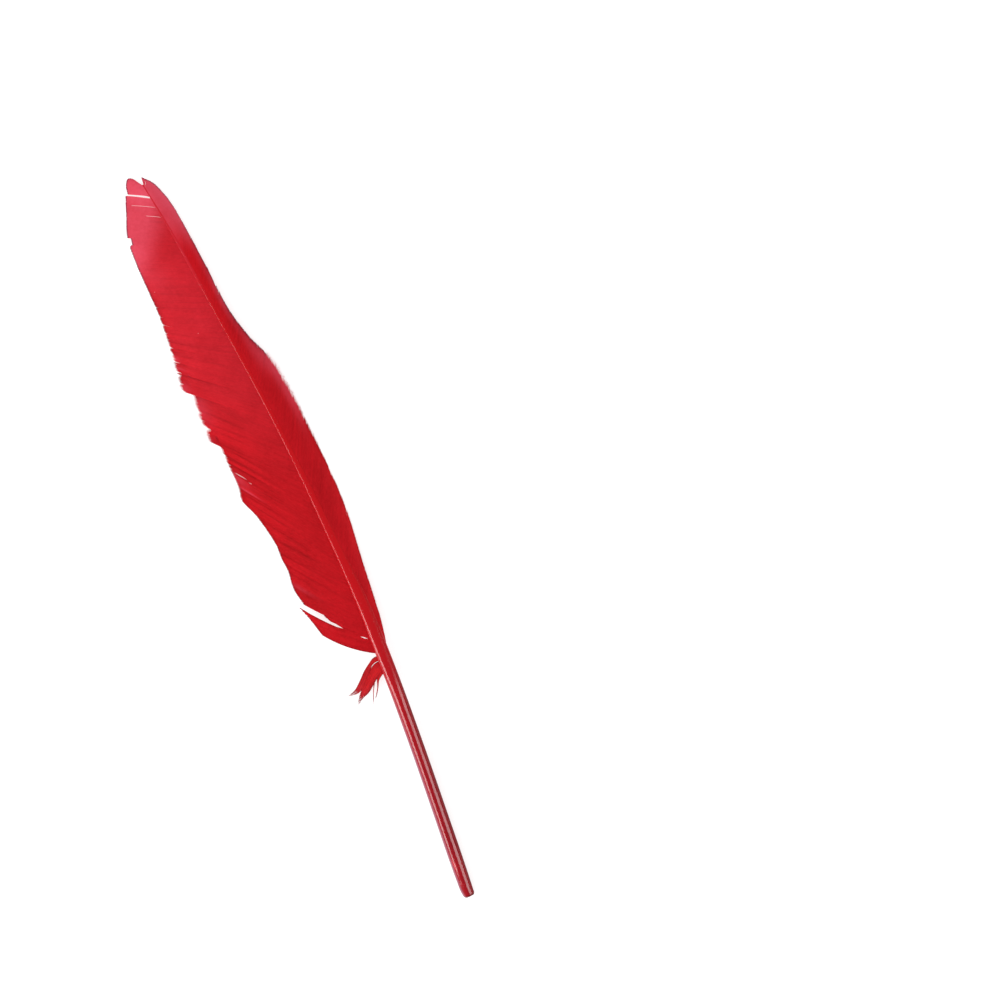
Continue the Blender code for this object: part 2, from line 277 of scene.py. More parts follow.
# %% Describe where barbs start and end
# Each row says where a barb is rooted and where it ends unworn: (root, across, along).
# The open splits part the trailing vane in three sections, each with its own rows.
TIP_LOBE_ENDS = np.array((
    (297.0, -1.3, 299.0),
    (296.2, -2.4, 301.0),
    (295.2, -4.2, 302.0),
    (294.0, -5.8, 300.4),
    (292.3, -6.8, 297.0),
))
TRAILING_ENDS = np.array((
    (291.0, -7.9, 296.3),
    (282.4, -10.8, 289.3),
    (272.8, -13.9, 281.6),
    (260.5, -15.0, 270.0),
    (240.0, -15.4, 250.5),
    (220.0, -16.9, 237.0),
    (205.5, -18.4, 227.3),
    (194.3, -19.6, 220.3),
    (180.0, -19.4, 209.5),
    (167.2, -18.3, 198.4),
    (156.0, -16.8, 190.0),
    (142.0, -16.0, 177.0),
    (135.5, -15.8, 171.0),
    (132.6, -13.6, 165.0),
    (129.0, -11.9, 156.5),
    (119.0, -11.5, 144.5),
    (113.5, -11.3, 139.5),
    (110.5, -12.0, 135.5),
    (108.0, -12.0, 132.3),
    (106.2, -11.4, 128.8),
    (105.3, -10.8, 126.0),
    (104.1, -10.0, 123.6),
))
LOWEST_LOCK_ENDS = np.array((
    (103.5, -13.1, 126.2),
    (102.4, -11.6, 121.9),
    (100.4, -10.3, 117.0),
    (97.7, -9.4, 113.2),
))
LEADING_ENDS = np.array((
    (296.6, 0.9, 300.4),
    (292.2, 3.4, 297.6),
    (284.8, 5.5, 293.0),
    (277.7, 7.0, 287.5),
    (265.0, 8.3, 275.0),
    (250.6, 9.3, 260.0),
    (235.0, 10.2, 242.0),
    (219.5, 12.8, 229.0),
    (202.0, 17.0, 217.0),
    (185.0, 18.8, 203.0),
    (167.0, 19.3, 186.0),
    (151.0, 19.7, 170.0),
    (134.5, 18.9, 150.0),
    (124.0, 17.0, 135.5),
    (110.0, 14.9, 118.0),
    (100.5, 13.4, 107.0),
    (94.5, 11.5, 99.0),
))

# Height of the vane's edge above the table: (along, height)
TRAILING_EDGE = (
    (112.0, 3.2), (126.0, 1.9), (138.0, 1.0), (160.0, -0.2), (175.0, -1.3),
    (228.0, -1.3), (245.0, -0.1), (270.0, 0.45), (302.0, 0.7),
)
LEADING_EDGE = (
    (99.0, 4.9), (112.0, 4.0), (130.0, 2.3), (150.0, 0.8), (165.0, -0.5),
    (192.0, -0.5), (207.0, 1.0), (222.0, 2.6), (240.0, 3.5), (260.0, 2.9),
    (280.0, 1.9), (301.0, 0.9),
)

# Where the vanes leave the shaft: (root, height over its middle as a share of its depth)
TRAILING_SEAT = ((97.0, 0.20), (130.0, 0.30), (160.0, 0.36), (297.0, 0.42))
LEADING_SEAT = ((94.0, 0.20), (104.0, 0.30), (135.0, 0.46), (297.0, 0.47))
ROOT_INSIDE = 0.25      # and how far from its centre, as a share of its width
ARCH = 1.5              # how they fall away from it: 1 is straight, more is arched
LOWEST = 0.22           # mm, the lowest that the middle of a barb lies over the table
RIM_LOWEST = 0.05       # mm, the same for its rims
SETTLING = 0.25         # mm over which a falling barb comes to lie flat

print("trailing vane, mm long:", TIP_LOBE_ENDS[0, 0] - LOWEST_LOCK_ENDS[-1, 0])

# %% Trace barbs across a vane


def side_of(sections):
    """-1 for the trailing vane, 1 for the leading one."""
    return float(np.sign(sections[0][1, 1]))


def ends_of(sections, roots):
    """Where every barb ends unworn, read from the section that it is rooted in."""
    end = np.zeros((len(roots), 2))
    for rows in sections:
        inside = (roots >= rows[-1, 0] - 0.01) & (roots <= rows[0, 0] + 0.01)
        for axis in (0, 1):
            end[inside, axis] = eased(rows[:, 0], rows[:, axis + 1], roots[inside])
    return end


def barb_plan(sections, bends, roots, shares):
    """Points (across, along) of every barb, at each barb's own shares of its unworn length.

    bends says by how many degrees a barb that is rooted there bends towards the tip.
    """
    across, _, width, _ = shaft_at(roots)
    side = side_of(sections)
    start = np.stack([across + side * ROOT_INSIDE * width, roots], -1)[:, None]
    end = ends_of(sections, roots)[:, None]
    chord = end - start
    outward = np.stack([chord[..., 1], -chord[..., 0]], -1) * side
    bend = np.radians(straight(bends, roots))[:, None, None]
    middle = (start + end) / 2 + outward * np.tan(bend) / 2
    t = shares[..., None]
    return (1 - t) ** 2 * start + 2 * t * (1 - t) * middle + t**2 * end


def towards_tip(plan, side):
    """The flat direction square to every barb, on the side of the feather's tip."""
    run = np.gradient(plan, axis=1)
    run /= np.linalg.norm(run, axis=-1, keepdims=True)
    return np.stack([-run[..., 1], run[..., 0]], -1) * side


def barb_heights(vane, edge_places, roots, shares, ripple):
    """Height of every barb's middle line, which settles softly where it meets the table."""
    _, height, _, depth = shaft_at(roots)
    seat = (height + straight(vane["seat"], roots) * depth)[:, None]
    edge = straight(vane["edge"], edge_places)[:, None]
    fallen = edge + (seat - edge) * (1 - shares**ARCH) + ripple
    return SETTLING * np.logaddexp(fallen / SETTLING, LOWEST / SETTLING)


def lengths_of(paths):
    """Distance along every path to each of its points."""
    steps = np.linalg.norm(np.diff(paths, axis=1), axis=-1)
    return np.concatenate([np.zeros((len(paths), 1)), np.cumsum(steps, 1)], 1)


test_shares = np.linspace(0, 1, 9)[None]
test_barb = barb_plan([TRAILING_ENDS], [(200, 3)], np.array([200.0]), test_shares)
print("a barb in the middle, mm long:", round(float(lengths_of(test_barb)[0, -1]), 1))

# %% [markdown]
# ## A blade from a line
# The same thin blade serves barbs and down. It has two rims, a low ridge on top and a keel below,
# which is where a real barb has its stem. A blade is tilted as the web is there: level slats on a
# sloping web would be a blind that one sees through from the side. The rim on the tip side also
# lies a hair higher than the other, so that each blade laps over its neighbour.

# %% Give a line the section of a barb
BARB_RISE = 0.05        # mm from a blade's rims up to its ridge
BARB_DEPTH = 0.2        # mm from the ridge down to the keel, at the root
BARB_SLANT = 0.03       # mm by which the tip-side rim lies over the next barb
FULL_HALF_WIDTH = 0.3   # mm, half the width at which a blade has its full rise


def blade_rings(plan, heights, tipward, half, depth, slope=0.0):
    """Rings of four points along every line: rim, ridge, rim and keel."""
    rise = BARB_RISE * np.minimum(1, half / FULL_HALF_WIDTH)
    slant = BARB_SLANT * np.minimum(1, 2 * half / FULL_HALF_WIDTH) + slope * half

    def rim(sign):
        flat = plan + sign * tipward * half[..., None]
        height = np.maximum(heights + sign * slant, RIM_LOWEST)
        return np.concatenate([flat, height[..., None]], -1)

    ridge = np.concatenate([plan, (heights + rise)[..., None]], -1)
    keel = np.concatenate([plan, (heights + rise - depth)[..., None]], -1)
    return np.stack([rim(1), ridge, rim(-1), keel], 2)


def outward_facing(rings):
    """The same rings, turned where needed so that the faces of a strand point out of it."""
    middle_ring = rings.shape[1] // 2
    ring, onward = rings[:, middle_ring], rings[:, middle_ring + 1] - rings[:, middle_ring]
    spin = np.cross(ring[:, 1] - ring[:, 0], ring[:, 2] - ring[:, 1])
    turned = (spin * onward.mean(1)).sum(-1) > 0
    rings[turned] = rings[turned][:, :, ::-1]
    return rings


# %% [markdown]
# ## Locks
# Where barbs unhook, the web parts into locks a few millimetres wide. Each lock has its own small
# slant, so one lies over the next like a roof tile, and it is dyed and worn in its own way. Along
# its tip side each lock is also painted darker, as shade between locks. That gives the soft
# diagonal streaks of an old feather. Gaps with a set place, such as the open splits near the tip
# and above the lowest lock, are kept in short lists, and so are the two places where a lower lock
# has fanned out over the one above it.

# %% Cut a vane into locks


def cut_locks(rng, roots, fixed, longest):
    """The lock of every barb, and its place in the lock from 0 at the tip side to 1."""
    borders = [roots.max() + 0.01]
    stops = sorted([b for b in fixed if roots.min() < b < roots.max()], reverse=True)
    for stop in stops + [roots.min() - 0.01]:
        while borders[-1] - stop > longest:
            step = rng.uniform(0.45, 1.0) * longest
            borders.append(max(borders[-1] - step, stop + 0.25 * longest))
        borders.append(stop)
    borders = np.array(borders)
    lock = np.clip(np.searchsorted(-borders, -roots) - 1, 0, len(borders) - 2)
    place = (borders[lock] - roots) / (borders[lock] - borders[lock + 1])
    return lock, np.clip(place, 0, 1), len(borders) - 1


# %% Move barbs aside
LOCK_DRAW = 0.10        # mm by which the ends of a lock's barbs draw together or spread
SLIT_FADE = 4.0         # barbs over which the web gives way to a slit
SLIT_EASE = 0.06        # share of a barb over which a slit opens and closes
SPLIT_FADE = 1.6        # mm of roots over which the web follows a held split
SPLIT_EASE = 1.5        # mm along the barbs over which a held split opens
SPLIT_KEPT = 0.4        # share of the distance between a split's roots that its sides keep
EDGE_FADE = 0.12        # mm of roots over which a free edge darkens


def fan_out(fans, roots, shares):
    """Lower locks that lie over the one above: how far their barbs lean towards the tip."""
    lean = np.zeros(shares.shape)
    for border, reach, spread in fans:
        inside = np.clip(1 - (border - roots) / reach, 0, 1) * (roots < border)
        lean += spread * (inside**1.3)[:, None] * shares**1.6
    return lean


def draw_locks(rng, lock, place, locks, shares):
    """Barbs of a lock draw a little together, or spread, towards their ends."""
    draw = LOCK_DRAW * rng.uniform(-1, 1, locks)
    return (draw[lock] * (2 * place - 1))[:, None] * shares**3


def open_slits(slits, roots, spacing, shares):
    """Slits push neighbours apart: (root, first share, last share, width in mm)."""
    push = np.zeros(shares.shape)
    for at, start, stop, gap in slits:
        barbs_away = (roots - at) / spacing
        bump = np.exp(-np.abs(barbs_away) / SLIT_FADE) * np.sign(barbs_away) * gap / 2
        ease = min(SLIT_EASE, (stop - start) / 2)
        opened = rise_over(start - ease, start + ease, shares)
        closed = rise_over(stop - ease, stop + ease, shares)
        push += bump[:, None] * opened * (1 - closed)
    return push


def hold_splits(splits, roots, plan, tipward):
    """The two sides of a split stay hooked together up to a distance from the shaft, in mm."""
    run = lengths_of(plan)
    pull = np.zeros(run.shape)
    for upper, lower, hold in splits:
        above, below = np.flatnonzero(roots >= upper)[-1], np.flatnonzero(roots <= lower)[0]
        facing = np.stack([np.interp(run[below], run[above], axis) for axis in plan[above].T], -1)
        gap = ((facing - plan[below]) * tipward[below]).sum(-1)
        spare = np.clip(gap - (roots[above] - roots[below]) * SPLIT_KEPT, 0, None) / 2
        spare = spare * (1 - rise_over(hold - SPLIT_EASE, hold + SPLIT_EASE, run[below]))
        for rows, edge, sign in ((roots >= upper, upper, -1), (roots <= lower, lower, 1)):
            near = np.exp(-np.abs(roots[rows] - edge) / SPLIT_FADE)[:, None]
            pull[rows] += sign * near * np.interp(run[rows], run[below], spare)
    return pull


def open_edges(splits, roots, run):
    """How near every point is to a free edge that runs along a barb, from 0 to 1."""
    edges = [(roots[0], 0.0), (roots[-1], 0.0)]
    for upper, lower, hold in splits:
        edges += [(upper, hold), (lower, hold)]
    nearness = [
        np.exp(-np.abs(roots - edge) / EDGE_FADE)[:, None] * rise_over(hold, hold + 2, run)
        for edge, hold in edges
    ]
    return np.max(nearness, axis=0)


# %% [markdown]
# ## Creases and pale patches
# Two more marks of use follow the barbs. A crease is a long narrow furrow where the web once
# parted and was smoothed again: it lies a little lower, and it is painted darker, as shade in the
# furrow. A pale patch is a place where the barbules are worn off. Both are soft spots in the vane's
# own two directions, the root of a barb and the share along it, so they slant with the barbs
# without any more work.

# %% Mark creases and patches
CREASE_WIDTH = 0.55     # mm of roots
CREASE_EASE = 0.12      # share of a barb over which a crease begins and ends


def creases_at(creases, roots, shares):
    """How deep in a crease every point lies: (root, first share, last share, depth)."""
    depth = np.zeros(shares.shape)
    for at, start, stop, strength in creases:
        across = np.exp(-(((roots - at) / CREASE_WIDTH) ** 2))[:, None] * strength
        begun = rise_over(start - CREASE_EASE, start + CREASE_EASE, shares)
        depth += across * begun * (1 - rise_over(stop - CREASE_EASE, stop + CREASE_EASE, shares))
    return depth


def patches_at(patches, roots, shares):
    """How worn the web is: (root, share, radius in mm of roots, radius in shares, amount)."""
    worn = np.zeros(shares.shape)
    for at, share, wide, long, amount in patches:
        worn += amount * np.exp(-(((roots - at) / wide) ** 2)[:, None] - ((shares - share) / long) ** 2)
    return worn


# %% [markdown]
# ## Weave a vane
# Now the pieces come together. Every barb is traced, shortened by wear, moved aside where its lock
# asks for it, and laid at its height. Its width follows the distance to its neighbours, measured
# after they have moved. Three values are kept at every point for the finish: where on the barb it
# is, its tone, and how faded or worn the web is. The tone is how deep the dye is, with painted
# shade in creases and along each lock's tip side, darker crisp edges, and painted light over the
# whole leading vane.

# %% Weave
END_CROWDING = 1.5      # rings lie closer towards a barb's end, where its web gives out
BARB_OVERLAP = 1.25     # a blade's width, as a share of the distance between barbs
NARROWEST, WIDEST = 0.05, 0.42      # mm, half the width of a blade
STEEPEST = 1.2          # the steepest tilt of a blade across itself
BARE_TIP = 0.1          # a barb's bare end, as a share of its width
TILE_RISE = 0.40        # mm by which a lock's tip side stands over the next lock
FAN_RISE = 0.55         # mm more where it has fanned out over it
SLOW_WAVE, QUICK_WAVE = 0.16, 0.1   # mm, waves of the whole web
CREASE_DEPTH = 0.3      # mm by which the web sinks in a full crease
DARK_RIM = 1.5          # how much darker the crisp edges are made
SPLIT_RIM = 0.35        # the same for the sides of a split, as a share of it
CRISP_FRAY = 1.3        # mm, the longest fray of an end that still counts as crisp
CREASE_PAINTED_SHADE = 0.9        # how much darker a full crease is painted, as shade in the furrow


def worn_lengths(rng, vane, roots, full, lock, place, locks):
    """How much of every barb's length is lost, in mm."""
    corner = straight(vane["notch"], roots) * rng.uniform(0.2, 1.4, locks)[lock]
    corner = corner * np.abs(2 * place - 1) ** 3
    ragged = np.abs(rng.normal(0, 1, len(roots))) * 0.7 + 0.6 * smooth_noise(rng, roots, 1.7)
    lost = straight(vane["wear"], roots) + corner + straight(vane["ragged"], roots) * ragged
    return np.clip(lost, -0.3, 0.6 * full)


def read_in_lock(values, lock):
    """Values of the gaps between barbs become values of the barbs, without those across locks."""
    inside = np.flatnonzero(np.diff(lock) == 0)
    nearest = inside[np.abs(np.arange(len(values))[:, None] - inside[None]).argmin(1)]
    values = values[nearest]
    return np.concatenate([values[:1], (values[1:] + values[:-1]) / 2, values[-1:]])


def widths_of(plan, tipward, lock):
    """Half the width of every blade, from the distances to its neighbours in the same lock."""
    apart = np.abs((np.diff(plan, axis=0) * tipward[1:]).sum(-1))
    return np.clip(BARB_OVERLAP * read_in_lock(apart, lock) / 2, NARROWEST, WIDEST)


def slopes_of(plan, heights, tipward, lock):
    """How steeply the web climbs towards the tip side of every barb."""
    run = np.gradient(plan, axis=1)
    length = np.linalg.norm(run, axis=-1)
    climb = np.gradient(heights, axis=1) / length
    step = np.diff(plan, axis=0)
    onward = (step * run[1:]).sum(-1) / length[1:]
    aside = np.minimum((step * tipward[1:]).sum(-1), -NARROWEST)
    slope = (np.diff(heights, axis=0) - climb[1:] * onward) / aside
    return np.clip(read_in_lock(slope, lock), -STEEPEST, STEEPEST)


def weave_vane(name, vane, spacing, points, seed):
    """One vane: a blade for every barb, gathered into locks."""
    rng = np.random.default_rng(seed)
    sections, side = vane["sections"], side_of(vane["sections"])
    first, last = sections[0][0, 0], sections[-1][-1, 0]
    roots = np.linspace(first, last, int((first - last) / spacing))
    for upper, lower, _ in vane["splits"]:
        roots = roots[(roots >= upper) | (roots <= lower)]
    count = len(roots)
    lock, place, locks = cut_locks(rng, roots, vane["borders"], vane["longest_lock"])

    # Unworn barbs first, fanned where a lock lies over the next, to know widths and heights
    crowded = 1 - (1 - np.linspace(0, 1, points)) ** END_CROWDING
    whole = np.broadcast_to(crowded, (count, points))
    unworn = barb_plan(sections, vane["bends"], roots, whole)
    full = lengths_of(unworn)[:, -1]
    lost = worn_lengths(rng, vane, roots, full, lock, place, locks)
    shares = whole * (1 - lost / full)[:, None]
    plan = barb_plan(sections, vane["bends"], roots, shares)
    tipward = towards_tip(plan, side)
    plan = plan + tipward * fan_out(vane["fans"], roots, shares)[..., None]
    plan = plan + tipward * hold_splits(vane["splits"], roots, plan, tipward)[..., None]
    half = widths_of(plan, tipward, lock)

    aside = draw_locks(rng, lock, place, locks, shares)
    aside += open_slits(vane["slits"], roots, spacing, shares)
    plan = plan + tipward * aside[..., None]
    tipward = towards_tip(plan, side)

    # Each lock slants like a roof tile, over slow waves of the whole web
    contrast = straight(vane["lock_contrast"], roots)
    tile = contrast * TILE_RISE * rng.uniform(0.15, 1.0, locks)[lock] * (1 - place)
    waves = SLOW_WAVE * smooth_noise(rng, roots, 9.0) + QUICK_WAVE * smooth_noise(rng, roots, 4.0)
    fanned = fan_out([(b, r, FAN_RISE) for b, r, _ in vane["fans"]], roots, shares)
    creases = creases_at(vane["creases"], roots, shares)
    ripple = (tile + waves)[:, None] * shares**1.6 - CREASE_DEPTH * creases
    heights = barb_heights(vane, unworn[:, -1, 1], roots, shares, ripple) + fanned

    # Blades narrow to a bare point where their web gives out
    along = lengths_of(np.concatenate([plan, heights[..., None]], -1))
    left = along[:, -1:] - along
    fray = (straight(vane["fray"], roots) * rng.uniform(0.5, 1.4, count))[:, None]
    half = half * np.clip(left / fray, BARE_TIP, 1) ** 0.8
    depth = BARB_DEPTH * (1 - 0.6 * shares) * np.clip(left / fray, 0.3, 1)
    slope = slopes_of(plan, heights, tipward, lock)
    rings = outward_facing(blade_rings(plan, heights, tipward, half, depth, slope))

    # Dye, wear, painted shade and painted light, kept for the finish
    tone = straight(vane["dye_depth_and_painted_light"], roots)[:, None] + 0.16 * shares
    # Each lock gets a random tone of its own, and a painted shade along its tip side, where it meets the
    # lock above.
    lock_tone_and_border_shade = 0.2 * rng.uniform(-1, 1, locks)[lock] - 0.14 * np.exp(-place / 0.12)
    lock_tone_and_border_shade = contrast * (lock_tone_and_border_shade + 0.16 * smooth_noise(rng, roots, 2.2))
    tone = tone + lock_tone_and_border_shade[:, None] * rise_over(0.1, 0.7, shares) + 0.05 * rng.uniform(-1, 1, (count, 1))
    ends = np.exp(-left / vane["rim_fade"]) * (fray < CRISP_FRAY)
    ends = ends * straight(vane["rims"], roots)[:, None]
    rims = np.maximum(ends, SPLIT_RIM * open_edges(vane["splits"], roots, along))
    # Creases are painted darker, as shade in the furrow, and crisp ends and the sides of splits are
    # darkened.
    tone = tone - CREASE_PAINTED_SHADE * creases - DARK_RIM * rims
    faded = vane["faded"](roots[:, None], shares) + patches_at(vane["patches"], roots, shares)
    faded = np.clip(faded, 0, 1)
    places = np.stack([shares, along, np.broadcast_to(roots[:, None], shares.shape)], -1)
    obj = mesh_of_strands(
        name, rings, 50, barb=places[:, :, None], tone=tone[..., None], faded=faded[..., None]
    )
    return obj, {"roots": roots, "plan": plan, "heights": heights, "tipward": tipward}


# %% Describe and weave the trailing vane
TRAILING = {
    "sections": (TIP_LOBE_ENDS, TRAILING_ENDS, LOWEST_LOCK_ENDS),
    # Dark crisp ends: (root, strength), and the mm along a barb over which they fade
    "rims": ((245.0, 1.3), (262.0, 1.9)),
    "rim_fade": 0.45,
    "edge": TRAILING_EDGE,
    "seat": TRAILING_SEAT,
    "bends": (
        (97.7, 13), (101, 12), (103.5, 10), (104.1, 6), (110, 4), (125, 2), (150, 1), (170, 0),
        (195, 0), (212, 3), (240, 3), (270, 1), (284, -3), (297, -1),
    ),
    "longest_lock": 6.5,
    "borders": (292.1, 272.7, 268.7, 204.6, 194.1, 175.6, 167.1, 155.6, 105.35, 103.8),
    # Worn away at the ends: (root, length lost)
    "wear": (
        (272.8, 0.0), (272.6, 1.3), (270.0, 1.4), (269.0, 0.0),
        (205.0, 0.0), (204.4, 1.0), (202.5, 0.3), (194.2, 0.0),
        (194.0, 0.0), (188.0, 1.9), (182.0, 2.4), (176.5, 2.4),
        (175.5, 4.0), (173.5, 2.4), (167.2, 0.0),
        (167.0, 1.1), (160.0, 2.6), (155.0, 2.4), (147.0, 1.9), (135.5, 0.0),
        (105.37, 0.0), (105.33, 8.2), (104.1, 8.8), (104.0, 0.0),
    ),
    # Depth of the small notches between locks: (root, mm)
    "notch": (
        (297.0, 0.0), (270.0, 0.1), (245.0, 0.15), (232.0, 0.6), (200.0, 0.8),
        (170.0, 0.7), (150.0, 0.3), (100.0, 0.1),
    ),
    # Unevenness of the single barbs' ends: (root, mm)
    "ragged": (
        (297.0, 0.04), (262.0, 0.07), (240.0, 0.14), (196.0, 0.28), (170.0, 0.4),
        (150.0, 0.15), (120.0, 0.12), (97.0, 0.08),
    ),
    # Length over which a barb's web gives out at its end: (root, mm)
    "fray": (
        (297.0, 0.3), (250.0, 0.45), (230.0, 0.9), (200.0, 1.6), (170.0, 2.2),
        (150.0, 1.2), (120.0, 0.7), (103.6, 0.5), (97.0, 0.3),
    ),
    # Parted right through: (root above, root below, mm up to which the sides stay hooked)
    "splits": ((292.3, 291.0, 0.2), (104.1, 103.5, 13.0)),
    # Parted for a stretch: (root, from share, to share, width in mm)
    "slits": (
        (287.1, 0.04, 0.82, 0.2), (282.6, 0.04, 0.46, 0.2), (263.2, 0.72, 0.745, 0.6),
        (152.2, 0.79, 0.88, 0.26), (150.9, 0.75, 0.77, 0.4), (161.0, 0.95, 1.05, 0.4),
        (102.9, 0.11, 0.17, 0.7), (212.0, 0.93, 1.05, 0.3), (206.0, 0.95, 1.05, 0.4),
    ),
    # Furrows: (root, from share, to share, depth)
    "creases": (
        (156.3, 0.55, 0.98, 0.55), (159.8, 0.60, 1.0, 0.4), (143.5, 0.65, 1.0, 0.4),
        (128.5, 0.40, 0.85, 0.4), (193.0, 0.62, 0.92, 0.3), (211.5, 0.80, 1.0, 0.4),
        (166.0, 0.60, 0.92, 0.3), (137.6, 0.5, 0.8, 0.25), (176.0, 0.55, 0.8, 0.2),
        (218.0, 0.84, 1.0, 0.25), (205.0, 0.7, 0.95, 0.25), (286.2, 0.6, 0.95, 0.25),
        (118.0, 0.35, 0.75, 0.25), (149.6, 0.45, 0.72, 0.3), (280.6, 0.1, 0.35, 0.2),
    ),
    # Worn patches: (root, share, radius in mm of roots, radius in shares, amount)
    "patches": (
        (184.0, 0.95, 6.5, 0.13, 0.3), (149.0, 0.93, 3.2, 0.12, 0.3), (214.0, 0.97, 2.0, 0.06, 0.35),
        (208.5, 0.97, 0.8, 0.08, 0.4), (197.0, 0.96, 3.0, 0.07, 0.3), (110.6, 0.88, 0.9, 0.18, 0.2),
        (144.6, 0.86, 0.6, 0.12, 0.4), (169.5, 0.97, 2.2, 0.05, 0.3), (258.0, 0.8, 9.0, 0.3, 0.15),
    ),
    # Fanned out over the lock above: (root at the border, mm of roots that lean, mm of lean)
    "fans": ((194.05, 14.0, 7.6), (167.05, 12.0, 3.3)),
    "lock_contrast": ((97.0, 0.6), (140.0, 0.8), (222.0, 0.8), (238.0, 0.4), (262.0, 0.15), (297.0, 0.15)),
    "dye_depth_and_painted_light": ((97.0, 0.42), (150.0, 0.45), (200.0, 0.55), (250.0, 0.6), (297.0, 0.6)),
    "faded": lambda root, share: (
        0.10 * rise_over(150, 230, root)
        + 0.62 * rise_over(-8, 10, root - 284 + 27 * share)
        + 0.12 * rise_over(-3, 5, root - 287)
    ),
}
trailing_vane, trailing_barbs = weave_vane("trailing_vane", TRAILING, 0.36, 24, 11)

# %% Describe and weave the leading vane
LEADING = {
    "sections": (LEADING_ENDS,),
    "edge": LEADING_EDGE,
    "seat": LEADING_SEAT,
    "bends": ((94, 4), (297, 4)),
    "longest_lock": 9.0,
    "borders": (),
    "wear": ((297.0, 0.0), (94.0, 0.0)),
    "notch": ((297.0, 0.05), (208.0, 0.05), (198.0, 0.3), (170.0, 0.3), (94.0, 0.1)),
    "ragged": ((297.0, 0.06), (207.0, 0.1), (198.0, 0.35), (165.0, 0.3), (130.0, 0.15), (94.0, 0.1)),
    "fray": ((297.0, 0.5), (207.0, 0.8), (198.0, 2.6), (185.0, 2.6), (165.0, 1.4), (94.0, 0.8)),
    "splits": (),
    "slits": ((295.1, 0.3, 0.75, 0.16), (243.0, 0.93, 1.02, 0.5)),
    # Longer than on the other vane, because these barbs run out at a smaller angle to the margin
    "rims": ((185.0, 0.7), (205.0, 1.5)),
    "rim_fade": 1.0,
    "creases": ((225.0, 0.3, 0.8, 0.2), (182.0, 0.3, 0.8, 0.25), (158.0, 0.2, 0.7, 0.2)),
    "patches": ((240.0, 0.8, 9.0, 0.25, 0.2), (212.0, 0.75, 8.0, 0.3, 0.2)),
    "fans": (),
    "lock_contrast": ((94.0, 0.3), (200.0, 0.4), (240.0, 0.15), (297.0, 0.1)),
    # Deeper than on the other vane: painted light that brightens this vane, which slopes away from the
    # light.
    "dye_depth_and_painted_light": ((94.0, 0.8), (150.0, 0.75), (200.0, 0.75), (240.0, 0.8), (297.0, 0.9)),
    "faded": lambda root, share: (
        0.75 * rise_over(-18, 6, root - 283 + 12 * share)
        + 0.25 * rise_over(0.35, 1.0, share) * rise_over(165, 235, root)
        + 0.55 * rise_over(0.55, 1.0, share) * rise_over(165, 190, root) * (1 - rise_over(200, 216, root))
    ),
}
leading_vane, leading_barbs = weave_vane("leading_vane", LEADING, 0.42, 20, 12)

# %% [markdown]
# ## Down
# At the foot of the trailing vane a few barbs never hooked together. Wet with dye, they dried in
# flat curved ribbons that split into fine hairs at their ends. Each ribbon is a bundle of the same
# blades, laid side by side along one curve and left to stray near its end.

# %% Lay ribbons of down
# Each ribbon: its middle line (across, along, height), its width there, and what its strands do
DOWN_RIBBONS = (
    {
        "line": (
            (7.6, 95.8, 5.4), (5.2, 96.0, 5.3), (3.0, 95.1, 4.8), (0.4, 92.9, 3.9),
            (-2.9, 89.9, 2.9), (-6.3, 87.8, 1.7), (-10.3, 87.4, 0.8),
        ),
        "width": (1.8, 1.7, 1.3, 2.1, 2.3, 1.8, 0.15),
        "strands": 34, "shortest": 0.93, "stray": 0.12,
    },
    {
        "line": (
            (7.8, 92.8, 5.0), (5.0, 92.4, 4.8), (2.4, 91.0, 4.1), (-0.5, 88.9, 3.1),
            (-3.2, 86.7, 2.2), (-5.8, 85.0, 1.3), (-8.6, 82.5, 0.7),
        ),
        "width": (3.7, 4.4, 3.7, 3.4, 2.9, 1.5, 0.15),
        "strands": 46, "shortest": 0.78, "stray": 0.3,
    },
    {
        "line": (
            (7.4, 91.2, 4.9), (5.0, 90.4, 4.5), (3.1, 88.6, 3.6), (1.9, 86.4, 2.7),
            (0.8, 84.6, 1.9), (-0.3, 83.0, 1.3), (-1.6, 81.4, 0.8),
        ),
        "width": (0.9, 1.2, 0.6, 0.3, 0.25, 0.25, 0.3),
        "strands": 6, "shortest": 0.7, "stray": 0.35,
    },
    {
        "line": (
            (7.2, 91.6, 4.7), (4.4, 90.7, 4.2), (1.9, 89.2, 3.4), (0.7, 87.3, 2.6),
            (-0.5, 85.2, 1.9), (-2.0, 82.3, 1.2), (-3.8, 79.3, 0.7),
        ),
        "width": (0.8, 0.8, 0.4, 0.2, 0.15, 0.2, 0.3),
        "strands": 4, "shortest": 0.7, "stray": 0.3,
    },
)
DOWN_POINTS = 30
DOWN_CROWN = 0.22       # how far a ribbon's middle stands over its rims, as a share of its width
DOWN_FORK = 0.6         # share of a strand's length from which it strays
DOWN_DEPTH = 0.14       # mm


